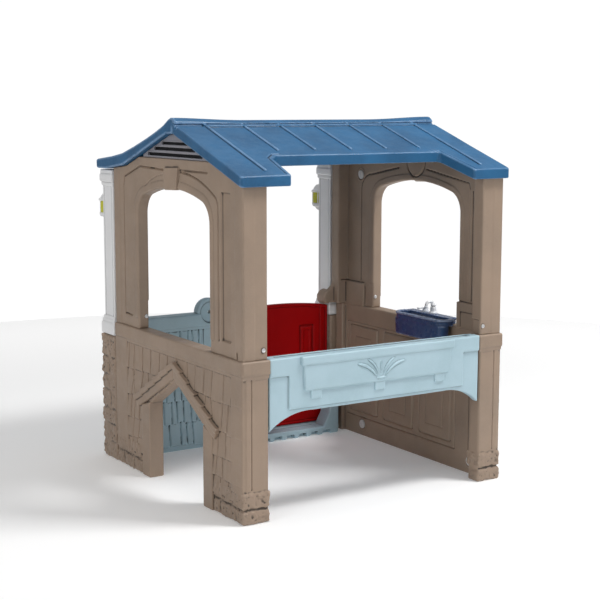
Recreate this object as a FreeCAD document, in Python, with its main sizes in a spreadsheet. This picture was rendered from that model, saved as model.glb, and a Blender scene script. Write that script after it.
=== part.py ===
# Plastic playhouse for toddlers: two side walls with window arches, a half wall with a
# swinging half door on the porch side, a serving counter, a two-piece roof, a small sink.
# Units are millimetres.  Every sub-part is drawn in a corner frame (X along the counter
# from the outer face of the left wall, Y from the counter side to the porch side, Z up
# from the floor) and is then placed so that the origin of the part is the bottom centre
# of its bounding box.
import FreeCAD, Part
import os
import Sketcher

doc = FreeCAD.newDocument("playhouse")
sheet = doc.addObject("Spreadsheet::Sheet", "Dims")


class Q:
    """A dimension: its value and the spreadsheet expression that gives it."""

    def __init__(self, value, expr=None):
        self.v = float(value)
        self.e = expr if expr is not None else repr(float(value))

    @staticmethod
    def of(o):
        return o if isinstance(o, Q) else Q(o)

    def __add__(self, o):
        o = Q.of(o)
        return Q(self.v + o.v, "(%s + %s)" % (self.e, o.e))

    def __radd__(self, o):
        return Q.of(o) + self

    def __sub__(self, o):
        o = Q.of(o)
        return Q(self.v - o.v, "(%s - %s)" % (self.e, o.e))

    def __rsub__(self, o):
        return Q.of(o) - self

    def __mul__(self, o):
        o = Q.of(o)
        return Q(self.v * o.v, "(%s * %s)" % (self.e, o.e))

    __rmul__ = __mul__


def val(q):
    return q.v if isinstance(q, Q) else float(q)


rows = [0]


def cell(name, value):
    rows[0] += 1
    sheet.set("A%d" % rows[0], name)
    sheet.set("B%d" % rows[0], str(value))
    sheet.setAlias("B%d" % rows[0], name)
    return Q(value, "Dims." + name)


# ---- driving dimensions ------------------------------------------------------------
W = cell("house_width", 950)            # over the outer faces of the two side walls
D = cell("wall_depth", 856)             # side walls, front edge to back edge
RAIL = cell("rail_top", 481)            # top of the lower walls
BAND = cell("rail_band", 50)            # height of the rail moulding
PROUD = cell("rail_proud", 8)           # rail moulding stands out of the wall
LOWT = cell("lower_wall_thick", 46)
UPT = cell("upper_wall_thick", 37)
POSTW = cell("lower_post_width", 82)
POSTD = cell("post_depth", 46)
UPOSTW = cell("upper_post_width", 80)
OPF = cell("crawl_front_edge", 236)     # crawl opening
OPB = cell("crawl_back_edge", 600)
OPE = cell("crawl_eave", 250)
OPP = cell("crawl_peak", 357)
BOARD = cell("board_proud", 6)
GTRIM = cell("gable_trim_proud", 13)
STONE = cell("stone_proud", 6)
COURSE = cell("stone_course", 44)
STOP = cell("stone_top", 97)
WINF = cell("window_front_edge", 197)
WINB = cell("window_back_edge", 679)
RWINF = cell("right_window_front_edge", 168)
RWINB = cell("right_window_back_edge", 652)
WINS = cell("window_spring", 856)
WINT = cell("window_top", 951)
WALLTOP = cell("upper_wall_top", 1041)
FAC = cell("facade_face", 858)          # inner face of the porch half wall
FACT = cell("facade_thick", 42)
DOORL = cell("door_left", 414)
DOORR = cell("door_right", 860)
DOORB = cell("door_bottom", 34)
DOORT = cell("door_thick", 26)
DOORY = cell("door_axis_y", 878)
DOORX = cell("door_axis_x", 842)
PINR = cell("door_pin_radius", 5)
PINFIT = cell("door_pin_clearance", 0.06)
PILW = cell("pillar_width", 82)
PILF = cell("pillar_front", 858)
PILB = cell("pillar_back", 968)
COLF = cell("column_front", 870)
COLB = cell("column_back", 950)
COLW = cell("column_width", 78)
ROOFL = cell("roof_left", -16)
ROOFR = cell("roof_right", 962)
EAVEY = cell("eave_front", -17)
EAVEZ = cell("eave_top", 1009)
ROOFT = cell("roof_thick", 33)
PITCH = cell("roof_pitch", 0.342)
MEET = cell("roof_meet", 400)           # where the two halves meet
RIDGE = cell("ridge_y", 444)
CUTY = cell("eave_cut", 127)
CTL = cell("counter_left", 86)
CTR = cell("counter_right", 864)
CTD = cell("counter_depth", 45)
CTB = cell("counter_bottom", 315)
TRAYP = cell("tray_proud", 16)
SINKX = cell("sink_inner_edge", 846)
SINKY = cell("sink_front_edge", 175)
SINKL = cell("sink_length", 274)
SINKZ = cell("sink_rim", 505)
OX = cell("origin_x", 473)
OY = cell("origin_y", 507)
doc.recompute()

HOME = FreeCAD.Placement(FreeCAD.Vector(-OX.v, -OY.v, 0), FreeCAD.Rotation())
parts = {}


# ---- helpers -----------------------------------------------------------------------
def plane(body, role):
    for f in body.Origin.OriginFeatures:
        if f.Role == role:
            return f


def new_body(label):
    b = doc.addObject("PartDesign::Body", "B_" + label)
    b.Label = label
    parts[label] = b
    return b


count = [0]


def name(stem):
    count[0] += 1
    return "%s%03d" % (stem, count[0])


def sketch(body, role, off, pts):
    """A closed outline on one of the body's own origin planes.  Each entry is the end of
    a line (u, v) or of an arc ("arc", (u, v) on it, (u, v) end); ("circle", (u, v), r)
    alone is a whole circle."""
    sk = body.newObject("Sketcher::SketchObject", name("Sk"))
    sk.AttachmentSupport = (plane(body, role), [""])
    sk.MapMode = "FlatFace"
    sk.AttachmentOffset = FreeCAD.Placement(FreeCAD.Vector(0, 0, val(off)), FreeCAD.Rotation())
    if isinstance(off, Q):
        sk.setExpression("AttachmentOffset.Base.z", off.e)
    con, bind = [], []
    if pts[0][0] == "circle":
        for i, (_, c, r) in enumerate(pts):
            sk.addGeometry(Part.Circle(FreeCAD.Vector(val(c[0]), val(c[1]), 0), FreeCAD.Vector(0, 0, 1), val(r)), False)
            for k, kind in ((0, "DistanceX"), (1, "DistanceY")):
                con.append(Sketcher.Constraint(kind, -1, 1, i, 3, val(c[k])))
                if isinstance(c[k], Q):
                    bind.append((len(con) - 1, c[k].e))
            con.append(Sketcher.Constraint("Radius", i, val(r)))
            if isinstance(r, Q):
                bind.append((len(con) - 1, r.e))
    else:
        ends = [p if len(p) == 2 else p[2] for p in pts]
        geo = []
        for i, p in enumerate(pts):
            a, b = ends[i - 1], ends[i]
            A = FreeCAD.Vector(val(a[0]), val(a[1]), 0)
            B = FreeCAD.Vector(val(b[0]), val(b[1]), 0)
            if len(p) == 2:
                geo.append(Part.LineSegment(A, B))
            else:
                M = FreeCAD.Vector(val(p[1][0]), val(p[1][1]), 0)
                arc = Part.ArcOfCircle(A, M, B)
                # a sketch keeps its arcs counter-clockwise
                geo.append(Part.ArcOfCircle(B, M, A) if arc.Circle.Axis.z < 0 else arc)
        sk.addGeometry(geo, False)

        def at(i, last):
            if isinstance(geo[i], Part.LineSegment):
                return 2 if last else 1
            s = sk.Geometry[i].StartPoint
            b = ends[i] if last else ends[i - 1]
            return 1 if abs(s.x - val(b[0])) + abs(s.y - val(b[1])) < 1e-5 else 2

        n = len(pts)
        for i in range(n):
            con.append(Sketcher.Constraint("Coincident", i, at(i, True), (i + 1) % n, at((i + 1) % n, False)))
        for i in range(n):
            b = ends[i]
            for k, kind in ((0, "DistanceX"), (1, "DistanceY")):
                con.append(Sketcher.Constraint(kind, -1, 1, i, at(i, True), val(b[k])))
                if isinstance(b[k], Q):
                    bind.append((len(con) - 1, b[k].e))
            if len(pts[i]) != 2:
                con.append(Sketcher.Constraint("Radius", i, sk.Geometry[i].Radius))
    sk.addConstraint(con)
    for i, e in bind:
        sk.setExpression("Constraints[%d]" % i, e)
    return sk


def solid(body, axis, lo, hi, pts, cut=False):
    """Adds (or cuts) the prism over an outline between lo and hi along X, Y or Z.
    The outline's coordinates are (Y, Z) for X, (X, Z) for Y and (X, Y) for Z."""
    lo, hi = Q.of(lo), Q.of(hi)
    role, off = {"X": ("YZ_Plane", lo), "Y": ("XZ_Plane", 0 - hi), "Z": ("XY_Plane", lo)}[axis]
    if cut:
        off = {"X": hi, "Y": 0 - lo, "Z": hi}[axis]
    sk = sketch(body, role, off, pts)
    f = body.newObject("PartDesign::Pocket" if cut else "PartDesign::Pad", name("Cut" if cut else "Pad"))
    f.Profile = sk
    f.Length = hi.v - lo.v
    f.setExpression("Length", (hi - lo).e)
    sk.Visibility = False
    return f


def rect(u0, v0, u1, v1):
    return [(u0, v0), (u1, v0), (u1, v1), (u0, v1)]


def rrect(u0, v0, u1, v1, r):
    """A rectangle with round corners."""
    u0, v0, u1, v1 = (Q.of(a) for a in (u0, v0, u1, v1))
    k = r * 0.2928932188
    return [
        (u1 - r, v0), ("arc", (u1 - k, v0 + k), (u1, v0 + r)),
        (u1, v1 - r), ("arc", (u1 - k, v1 - k), (u1 - r, v1)),
        (u0 + r, v1), ("arc", (u0 + k, v1 - k), (u0, v1 - r)),
        (u0, v0 + r), ("arc", (u0 + k, v0 + k), (u0 + r, v0)),
    ]


def side(right):
    """Maps an X of the left wall to the same place on the left or the right wall."""
    return (lambda x: W - x) if right else (lambda x: Q.of(x))


def xs(sx, a, b):
    p, q = sx(a), sx(b)
    return (p, q) if p.v < q.v else (q, p)


def hole(body, axis, lo, hi, c, r):
    return solid(body, axis, lo, hi, [("circle", c, r)], cut=True)


UNDER0 = EAVEZ - ROOFT                                  # under the eave's front edge


def under(y):
    """Underside of the front roof slope."""
    return UNDER0 + (y - EAVEY) * PITCH


# ---- lower walls -------------------------------------------------------------------
def lower_wall(label, right):
    b = new_body(label)
    sx = side(right)
    out = [(0, 0)]
    if not right:
        out += [(OPF, 0), (OPF, OPE), ((OPF + OPB) * 0.5, OPP), (OPB, OPE), (OPB, 0)]
    out += [(D, 0), (D, RAIL), (0, RAIL)]
    lo, hi = xs(sx, 0, UPT)
    solid(b, "X", lo, hi, out)
    # below the rail the wall is thicker inside
    inner = [(o[0], o[1] if not (isinstance(o[1], Q) and o[1].e == RAIL.e) else RAIL - BAND) for o in out]
    lo, hi = xs(sx, UPT, LOWT)
    solid(b, "X", lo, hi, inner)
    # corner post, turned in along the counter side
    lo, hi = xs(sx, 0, POSTW)
    solid(b, "Z", 0, RAIL, rect(lo, 0, hi, POSTD))
    # rail moulding along the wall and round the post
    lo, hi = xs(sx, 0 - PROUD, POSTW + 4)
    solid(b, "Z", RAIL - BAND, RAIL, rect(lo, 0 - PROUD, hi, POSTD + 4))
    lo, hi = xs(sx, 0 - PROUD, 10)
    solid(b, "Z", RAIL - BAND, RAIL, rect(lo, POSTD, hi, D))
    # flat pilaster boards at both ends of the wall
    lo, hi = xs(sx, 0 - 3, 10)
    solid(b, "X", lo, hi, rect(0, STOP, 68, RAIL - BAND))
    solid(b, "X", lo, hi, rect(769, STOP, D, RAIL - BAND))
    # two courses of stone round the foot of the corner post and along the wall
    for z0, z1, dd in ((0, COURSE, 0), (COURSE + 3, STOP, 1)):
        lo, hi = xs(sx, 0 - STONE, POSTW + 2)
        solid(b, "Z", z0, z1, rect(lo, 0 - STONE, hi, 42 + 14 * dd))
        lo, hi = xs(sx, 0 - STONE + 1, 10)
        if right:
            joints = [62, 135, 250, 352, 470, 560, 668, 762] if dd else [46, 180, 300, 405, 520, 610, 715, 790]
            for y0, y1 in zip(joints, joints[1:] + [D.v]):
                solid(b, "Z", z0, z1, rect(lo, y0 + 3, hi, y1))
        else:
            for y0, y1 in (((62, 117), (121, 178)) if dd else ((45, 135), (139, 178))):
                solid(b, "Z", z0, z1, rect(lo, y0, hi, y1))
            for y0, y1 in (((672, 752), (756, D)) if dd else ((664, 722), (726, 800), (804, D))):
                solid(b, "Z", z0, z1, rect(lo, y0, hi, y1))
    if not right:
        # jamb boards and the little pitched roof moulding over the crawl opening
        lo, hi = xs(sx, 0 - BOARD, 10)
        solid(b, "X", lo, hi, [(180, 0), (OPF, 0), (OPF, OPE), (180, 236)])
        solid(b, "X", lo, hi, [(OPB, 0), (656, 0), (656, OPE - 14), (OPB, OPE)])
        lo, hi = xs(sx, 0 - GTRIM, 10)
        mid = (OPF + OPB) * 0.5
        solid(b, "X", lo, hi, [(159, 224), (OPF, OPE + 13), (mid, OPP + 6), (OPB, OPE + 13), (677, 224), (700, 256), (mid, 417), (136, 256)])
    # seats of the round plugs on the inside
    lo, hi = xs(sx, LOWT - 2, LOWT)
    for y in (84, 699):
        hole(b, "X", lo, hi, (y, 44), 16)
    return b


left_lower_wall = lower_wall("left_lower_wall", False)
right_lower_wall = lower_wall("right_lower_wall", True)


# ---- upper walls: a window arch with a front post ------------------------------------
def upper_wall(label, right):
    b = new_body(label)
    sx = side(right)
    yt = EAVEY + (WALLTOP.v - UNDER0.v) / PITCH.v
    wf, wb = (RWINF, RWINB) if right else (WINF, WINB)
    mid = (wf + wb) * 0.5
    lo, hi = xs(sx, 0, UPT)
    solid(b, "X", lo, hi, [
        (0, RAIL), (wf, RAIL), (wf, WINS), ("arc", (wf + 12, 896), (wf + 42, 921)),
        ("arc", (mid, WINT), (wb - 42, 921)), ("arc", (wb - 12, 896), (wb, WINS)), (wb, RAIL),
        (D, RAIL), (D, 998.1), (756, 1010.8), (667.2, WALLTOP), (yt, WALLTOP), (0, under(0)),
    ])
    # front post and rear post, turned in
    lo, hi = xs(sx, 0, UPOSTW)
    solid(b, "X", lo, hi, [(0, RAIL), (POSTD, RAIL), (POSTD, under(POSTD)), (0, under(0))])
    solid(b, "X", lo, hi, [(D - 44, RAIL), (D, RAIL), (D, 998.1), (D - 44, 1003.7)])
    # keystone over the arch, outside and inside
    lo, hi = xs(sx, 0 - 5, 10)
    solid(b, "X", lo, hi, [(mid - 38, 950), (mid + 36, 947), (mid + 39, 1010), (mid - 49, 1015)])
    lo, hi = xs(sx, 20, UPT + 4)
    solid(b, "X", lo, hi, [("circle", (mid, 998), 34)])
    # feet of the window posts, thicker inside
    lo, hi = xs(sx, 20, UPT + 6)
    solid(b, "X", lo, hi, rect(POSTD, RAIL, wf if right else Q.of(154), 566))
    solid(b, "X", lo, hi, rect(702, RAIL, D - 44, 566))
    if right:
        # ear beside the rear post that holds the top pin of the half door
        solid(b, "Y", 838, D, [(874, 482), (874, 564), (866, 543), (850, 530), (834, 520), (826, 505), (828, 489), (834, 482)])
        solid(b, "Y", D, 892, [(DOORR, 476), (DOORR, 531), (834, 520), (826, 505), (828, 488), (834, 476)])
        hole(b, "Z", 470, 498, (DOORX, DOORY), PINR + PINFIT)
    # seat of the plug and of the screws
    lo, hi = xs(sx, UPT - 2, UPT)
    hole(b, "X", lo, hi, (731, 957), 16)
    sxc = sx(71 if right else 66)
    hole(b, "Y", 0, 22, (sxc, 509), 2.2)
    hole(b, "Y", wb, wb + 22, (sx(26), 521), 2.2)
    return b


left_upper_wall = upper_wall("left_upper_wall", False)
right_upper_wall = upper_wall("right_upper_wall", True)


# ---- porch side: half wall with door sill ---------------------------------------------
fw = new_body("porch_half_wall")
solid(fw, "Y", FAC, FAC + FACT, [(PILW + 6, 0), (410, 0), (410, 423), (410, RAIL), (PILW + 6, RAIL)])
solid(fw, "Y", FAC - 6, FAC + FACT + 6, rect(PILW + 12, 431, 408, RAIL))
solid(fw, "Z", 0, 31, rect(405, 790, 864, FAC + FACT))
solid(fw, "Y", 790, 853, [(789, 20), (820, 75), (835, 130), (864, 150), (864, 20)])
solid(fw, "Y", FAC, FAC + 30, [("circle", (358, 484), 49)])
hole(fw, "Y", FAC - 10, FAC + 60, (358, 484), 6)
for i in range(8):                                       # drain notches under the sill
    x0 = 428 + 52 * i
    solid(fw, "Y", 780, 812, rrect(x0, -12, x0 + 33, 11, 6), cut=True)
hole(fw, "Z", 13, 31, (DOORX, DOORY), PINR + PINFIT)


def pillar(label, right):
    b = new_body(label)
    sx = side(right)
    lo, hi = xs(sx, 0 - STONE, PILW - 2)
    solid(b, "Z", 0, 431, rect(lo, PILF, hi, PILB))
    # staggered stones, each standing a little out of the core
    lo, hi = xs(sx, 0 - STONE - 3, PILW)
    for i, (z0, z1) in enumerate(((4, 58), (62, 118), (122, 172), (176, 236), (240, 288), (292, 350), (354, 427))):
        solid(b, "Z", z0, z1, rect(lo, PILF, hi, PILB + (4 if i % 2 else 2)))
    return b


pillar("left_stone_pillar", False)
pillar("right_stone_pillar", True)


def column(label, right):
    b = new_body(label)
    sx = side(right)
    lo, hi = xs(sx, 0, COLW)
    solid(b, "Z", RAIL - 50, 990, rect(lo, COLF, hi, COLB))
    lo, hi = xs(sx, 0 - 9, COLW + 6)
    solid(b, "Z", RAIL - 50, RAIL + 12, rect(lo, COLF - 8, hi, COLB + 16))
    solid(b, "Z", 950, 990, rect(lo, COLF - 8, hi, COLB + 10))
    solid(b, "Z", 938, 950, [(lo + 5, COLF - 4), (hi - 5, COLF - 4), (hi - 5, COLB + 5), (lo + 5, COLB + 5)])
    return b


column("left_column", False)
column("right_column", True)


# ---- porch lanterns -------------------------------------------------------------------
def lantern(right):
    tag = "right" if right else "left"
    cx = side(right)(40)
    b = new_body(tag + "_lantern_bracket")
    solid(b, "Y", COLB, COLB + 8, rrect(cx - 17, 806, cx + 17, 912, 8))
    solid(b, "Y", COLB + 8, 1003, rect(cx - 7, 893, cx + 7, 907))
    solid(b, "Z", 884, 907, [("circle", (cx, 1003), 20)])
    solid(b, "Z", 880, 888, [("circle", (cx, 1003), 28)])
    solid(b, "Y", COLB + 8, 1003, rect(cx - 7, 820, cx + 7, 832))
    solid(b, "Z", 826, 838, [("circle", (cx, 1003), 26)])
    solid(b, "Z", 812, 828, [("circle", (cx, 1003), 12)])
    g = new_body(tag + "_lantern_glass")
    solid(g, "Z", 838, 880, [("circle", (cx, 1003), 23)])


lantern(False)
lantern(True)

# ---- serving counter with its front tray ----------------------------------------------
ct = new_body("counter")
mid = (CTL + CTR) * 0.5
solid(ct, "Y", 0, 26, [
    (CTL, RAIL), (CTL, 265), ("arc", (144, 300), (240, CTB)), (CTR - 140, CTB),
    ("arc", (CTR - 52, 300), (CTR, 265)), (CTR, RAIL),
])
solid(ct, "Z", RAIL - 26, RAIL, rect(CTL, 20, CTR, CTD))
solid(ct, "Y", 0 - 5, 5, rect(CTL, 434, 134, RAIL - 2))
solid(ct, "Y", 0 - 5, 5, rect(CTR - 56, 434, CTR, RAIL - 2))

tr = new_body("counter_tray")
solid(tr, "Y", 0 - TRAYP, 0, rect(188, 453, 756, RAIL))
solid(tr, "Y", 0 - TRAYP + 4, 0, [(197, 453), (204, 378), (740, 378), (747, 453)])
for x0 in (224, 454, 681):
    solid(tr, "Y", 0 - 9, 0, rect(x0, 350, x0 + 37, 380))


# ---- half door ------------------------------------------------------------------------
dr = new_body("half_door")
dy0, dy1 = DOORY - DOORT * 0.5, DOORY + DOORT * 0.5
solid(dr, "Y", dy0, dy1, [(DOORL, DOORB), (DOORR, DOORB), (DOORR, 471), ("arc", (637, 487), (DOORL, 471))])
for x0, x1 in ((469, 533), (736, 806)):
    solid(dr, "Y", dy0, dy0 + 4, rrect(x0, 90, x1, 404, 8), cut=True)
    solid(dr, "Y", dy1 - 4, dy1, rrect(x0, 90, x1, 404, 8), cut=True)
hole(dr, "Z", DOORB, DOORB + 30, (DOORX, DOORY), PINR)
hole(dr, "Z", 440, 480, (DOORX, DOORY), PINR)
pn = doc.addObject("Part::Cylinder", "PinLow")
pn.setExpression("Radius", PINR.e)
pn.Height = 48
pn.Placement = FreeCAD.Placement(FreeCAD.Vector(DOORX.v, DOORY.v, 16), FreeCAD.Rotation())
pt = doc.addObject("Part::Cylinder", "PinTop")
pt.setExpression("Radius", PINR.e)
pt.Height = 54
pt.Placement = FreeCAD.Placement(FreeCAD.Vector(DOORX.v, DOORY.v, 440), FreeCAD.Rotation())


# ---- roof -----------------------------------------------------------------------------
def top(y):
    return EAVEZ + (y - EAVEY) * PITCH


rf = new_body("roof_front")
solid(rf, "X", ROOFL, ROOFR, [(EAVEY, UNDER0), (MEET, under(MEET)), (MEET, top(MEET)), (EAVEY, EAVEZ)])
for x in (84, 215, 346, 477, 608, 739, 870):             # raised seams
    y0 = 12 if x in (84, 870) else 157
    solid(rf, "X", x - 6, x + 6, [(y0, top(y0) - 5), (372, top(372) - 5), (372, top(372) + 5), (y0 + 6, top(y0 + 6) + 5)])
solid(rf, "Z", 960, 1120, [(150, -40), (820, -40), (820, EAVEY), (788, CUTY), (193, CUTY), (164, 119), (150, EAVEY)], cut=True)

rb = new_body("roof_back")
solid(rb, "X", ROOFL, ROOFR, [
    (MEET, under(MEET)), (RIDGE, 1117), (756, 1011), (890, 994), (962, 994), (964, 1022), (954, 1025),
    (848, 1037), (762, 1050), (583, 1101), (453, 1146), (430, 1160), (414, 1167), (396, 1166), (379, 1154), (378, top(378)), (MEET, top(MEET)),
])
for x in (84, 215, 346, 477, 608, 739, 870):             # raised seams
    solid(rb, "X", x - 6, x + 6, [(478, 1126), (583, 1090), (762, 1040), (848, 1030), (930, 1020), (922, 1034), (848, 1042), (762, 1055), (583, 1106), (486, 1140)])


# ---- gable vents ----------------------------------------------------------------------
def vent(label, right):
    b = new_body(label)
    sx = side(right)
    lo, hi = xs(sx, 3, 17)
    y0, y1 = 205, 640
    solid(b, "X", lo, hi, [(y0, WALLTOP), (y1, WALLTOP), (y1, 1050.2), (RIDGE, 1116.8), (MEET, 1118.3), (y0, under(205) - 0.3)])
    for z0, z1, a, c in ((1051, 1057, 262, 600), (1068, 1074, 300, 552), (1085, 1092, 348, 500)):
        solid(b, "X", lo, hi, rect(a, z0, c, z1), cut=True)
    return b


vent("left_gable_vent", False)
vent("right_gable_vent", True)

# ---- sink on the window ledge ---------------------------------------------------------
sk = new_body("sink_basin")
SX1 = Q.of(940)
solid(sk, "Z", RAIL, SINKZ, [(906, SINKY), (906, SINKY + SINKL), (SINKX + 40, SINKY + SINKL), ("arc", (SINKX + 11.7, SINKY + SINKL - 11.7), (SINKX, SINKY + SINKL - 40)),
                             (SINKX, SINKY + 40), ("arc", (SINKX + 11.7, SINKY + 11.7), (SINKX + 40, SINKY))])
solid(sk, "Z", RAIL, SINKZ, rect(900, SINKY + 28, SX1, SINKY + SINKL - 6))
solid(sk, "Z", 426, RAIL, [(SINKX + 5, SINKY + 34), ("arc", (SINKX + 14, SINKY + 12), (SINKX + 36, SINKY + 3)), (896, SINKY + 3),
                           (896, SINKY + SINKL - 3), (SINKX + 36, SINKY + SINKL - 3), ("arc", (SINKX + 14, SINKY + SINKL - 12), (SINKX + 5, SINKY + SINKL - 34))])
solid(sk, "Z", 486, SINKZ, rrect(SINKX + 12, SINKY + 14, 908, SINKY + SINKL - 14, 24), cut=True)
solid(sk, "Z", 440, 487, rrect(SINKX + 20, SINKY + 26, 890, SINKY + SINKL - 26, 11), cut=True)
FX, FY = Q.of(924), SINKY + SINKL * 0.5

fb = new_body("faucet_base")
solid(fb, "Z", SINKZ, SINKZ + 6, [("circle", (FX, FY), 15)])
solid(fb, "Z", SINKZ + 6, SINKZ + 24, [("circle", (FX, FY), 11.5)])
hole(fb, "Z", SINKZ + 12, SINKZ + 24, (FX, FY), 5.06)

# spout: a bent tube that turns in the base, with a collar above it
sp_path = Part.Wire([
    Part.LineSegment(FreeCAD.Vector(924, 312, 517), FreeCAD.Vector(924, 312, 534)).toShape(),
    Part.Arc(FreeCAD.Vector(924, 312, 534), FreeCAD.Vector(920.485, 312, 542.485), FreeCAD.Vector(912, 312, 546)).toShape(),
    Part.LineSegment(FreeCAD.Vector(912, 312, 546), FreeCAD.Vector(903, 312, 546)).toShape(),
    Part.Arc(FreeCAD.Vector(903, 312, 546), FreeCAD.Vector(895.929, 312, 543.071), FreeCAD.Vector(893, 312, 536)).toShape(),
    Part.LineSegment(FreeCAD.Vector(893, 312, 536), FreeCAD.Vector(893, 312, 527)).toShape(),
])
tube = sp_path.makePipeShell([Part.Wire(Part.Circle(FreeCAD.Vector(924, 312, 517), FreeCAD.Vector(0, 0, 1), 5).toShape())], True, False)
collar = Part.makeCylinder(10, 9, FreeCAD.Vector(924, 312, SINKZ.v + 24.5))
spout = doc.addObject("Part::Feature", "faucet_spout_f")
spout.Shape = tube.fuse(collar).removeSplitter()
spout.Label = "faucet_spout"

# tap lever beside the spout, on a round boss
tb = new_body("tap_lever")
TY = FY + 42
solid(tb, "Z", SINKZ + 10.4, SINKZ + 20, [("circle", (FX, TY), 10)])
solid(tb, "Z", SINKZ + 13, SINKZ + 19, [(FX, TY - 4), (FX, TY + 4), (FX - 34, TY + 3), ("arc", (FX - 36.4, TY), (FX - 34, TY - 3))])
solid(tb, "Z", SINKZ + 3, SINKZ + 10.4, [("circle", (FX, TY), 4)])
ts = new_body("tap_boss")
solid(ts, "Z", SINKZ, SINKZ + 10, [("circle", (FX, TY), 12)])
hole(ts, "Z", SINKZ + 2, SINKZ + 10, (FX, TY), 4.06)

# ---- fasteners and plugs ---------------------------------------------------------------
def disc(axis, p, r, length):
    return Part.makeCylinder(r, length, FreeCAD.Vector(*p), FreeCAD.Vector(*axis))


def group(label, shapes):
    f = doc.addObject("Part::Feature", label + "_f")
    f.Shape = Part.makeCompound(shapes)
    f.Label = label
    parts[label] = f
    return f


plugs = []
for right in (False, True):
    s = -1 if right else 1
    for y, z, t in ((84, 44, LOWT.v), (699, 44, LOWT.v), (731, 957, UPT.v)):
        x = (W.v if right else 0) + s * (t - 2)
        plugs.append(disc((s, 0, 0), (x, y, z), 16, 4.5))
group("wall_plugs", plugs)


def screw(axis, p):
    """Pan-head screw: the head sits on the surface at p, the shank goes in along axis."""
    a = FreeCAD.Vector(*axis)
    head = Part.makeCylinder(6.5, 1.6, FreeCAD.Vector(*p), a * -1)
    dome = Part.makeCone(6.5, 3.6, 2.2, FreeCAD.Vector(*p) - a * 1.6, a * -1)
    shank = Part.makeCylinder(2.2, 22, FreeCAD.Vector(*p), a)
    return head.fuse(dome).fuse(shank).removeSplitter()


group("post_screws", [screw((0, 1, 0), (66, 0, 509)), screw((0, 1, 0), (W.v - 71, 0, 509))])
group("window_post_screws", [screw((0, 1, 0), (26, WINB.v, 521)), screw((0, 1, 0), (W.v - 26, RWINB.v, 521))])

pins = doc.addObject("Part::Compound", "door_hinge_pins_c")
pins.Links = [pn, pt]
pins.Label = "door_hinge_pins"
parts["door_hinge_pins"] = pins
parts["faucet_spout"] = spout

for p in parts.values():
    p.Placement = HOME
doc.recompute()

# ---- check and write -------------------------------------------------------------------
bad = []
for o in doc.Objects:
    if "Invalid" in o.State or "Error" in o.State:
        bad.append((o.Label, o.State))
for label, p in parts.items():
    s = p.Shape
    if s.isNull() or not s.isValid() or s.Volume <= 0:
        bad.append((label, "shape"))
    elif isinstance(p, type(None)):
        bad.append((label, "none"))
if bad:
    raise SystemExit("bad objects: %s" % bad)
box = FreeCAD.BoundBox()
for label, p in parts.items():
    box.add(p.Shape.BoundBox)
print("box", [round(v, 3) for v in (box.XMin, box.XMax, box.YMin, box.YMax, box.ZMin, box.ZMax)])
os.makedirs("parts", exist_ok=True)
for old in os.listdir("parts"):
    if old.endswith(".step"):
        os.remove(os.path.join("parts", old))
for label, p in sorted(parts.items()):
    print("%-24s solids %d  volume %.1f cm3" % (label, len(p.Shape.Solids), p.Shape.Volume / 1000))
    p.Shape.exportStep("parts/%s.step" % label)
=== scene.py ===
import bpy
import math
import numpy as np
from mathutils import Matrix, Vector


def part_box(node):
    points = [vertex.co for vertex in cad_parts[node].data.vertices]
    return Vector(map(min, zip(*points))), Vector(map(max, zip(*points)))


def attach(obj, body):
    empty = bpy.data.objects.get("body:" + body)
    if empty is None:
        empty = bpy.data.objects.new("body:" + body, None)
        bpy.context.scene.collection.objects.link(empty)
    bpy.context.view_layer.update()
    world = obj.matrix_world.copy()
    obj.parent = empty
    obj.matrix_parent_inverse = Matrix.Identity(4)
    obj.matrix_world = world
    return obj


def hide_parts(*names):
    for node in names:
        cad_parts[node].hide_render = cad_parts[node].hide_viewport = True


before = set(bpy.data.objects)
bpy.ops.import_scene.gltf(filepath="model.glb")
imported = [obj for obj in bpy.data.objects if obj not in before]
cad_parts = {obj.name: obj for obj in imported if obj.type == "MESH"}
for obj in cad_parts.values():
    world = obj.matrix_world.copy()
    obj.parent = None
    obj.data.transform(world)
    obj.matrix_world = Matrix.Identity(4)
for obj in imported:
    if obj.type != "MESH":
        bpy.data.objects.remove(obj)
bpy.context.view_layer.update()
F32 = np.float32

# The pieces are modelled in millimetres in the house's corner frame: X along the counter
# from the outer face of the left wall, Y from the counter to the porch, Z up.
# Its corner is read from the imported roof, whose eave starts at x = -16, y = -17.
_lo, _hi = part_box("roof_front")
CORNER = np.array([_lo.x * 1000 + 16.0, _lo.y * 1000 + 17.0, 0.0])
WIDTH = 950.0


# --------------------------------------------------------------------------------------
# fields: everything is a signed distance (negative inside) on a rectilinear grid
# --------------------------------------------------------------------------------------
def rmax(a, b, r):
    """Intersection with the edge rounded to radius r."""
    if r <= 0:
        return np.maximum(a, b)
    u, v = np.maximum(a + r, 0), np.maximum(b + r, 0)
    return np.minimum(-r, np.maximum(a, b)) + np.sqrt(u * u + v * v)


def rmin(a, b, r):
    """Union with a fillet of radius r."""
    if r <= 0:
        return np.minimum(a, b)
    u, v = np.maximum(r - a, 0), np.maximum(r - b, 0)
    return np.maximum(r, np.minimum(a, b)) - np.sqrt(u * u + v * v)


def sstep(e0, e1, x):
    t = np.clip((x - e0) / (e1 - e0), 0, 1)
    return t * t * (3 - 2 * t)


def span(v, lo, hi):
    return np.maximum(lo - v, v - hi)


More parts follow.
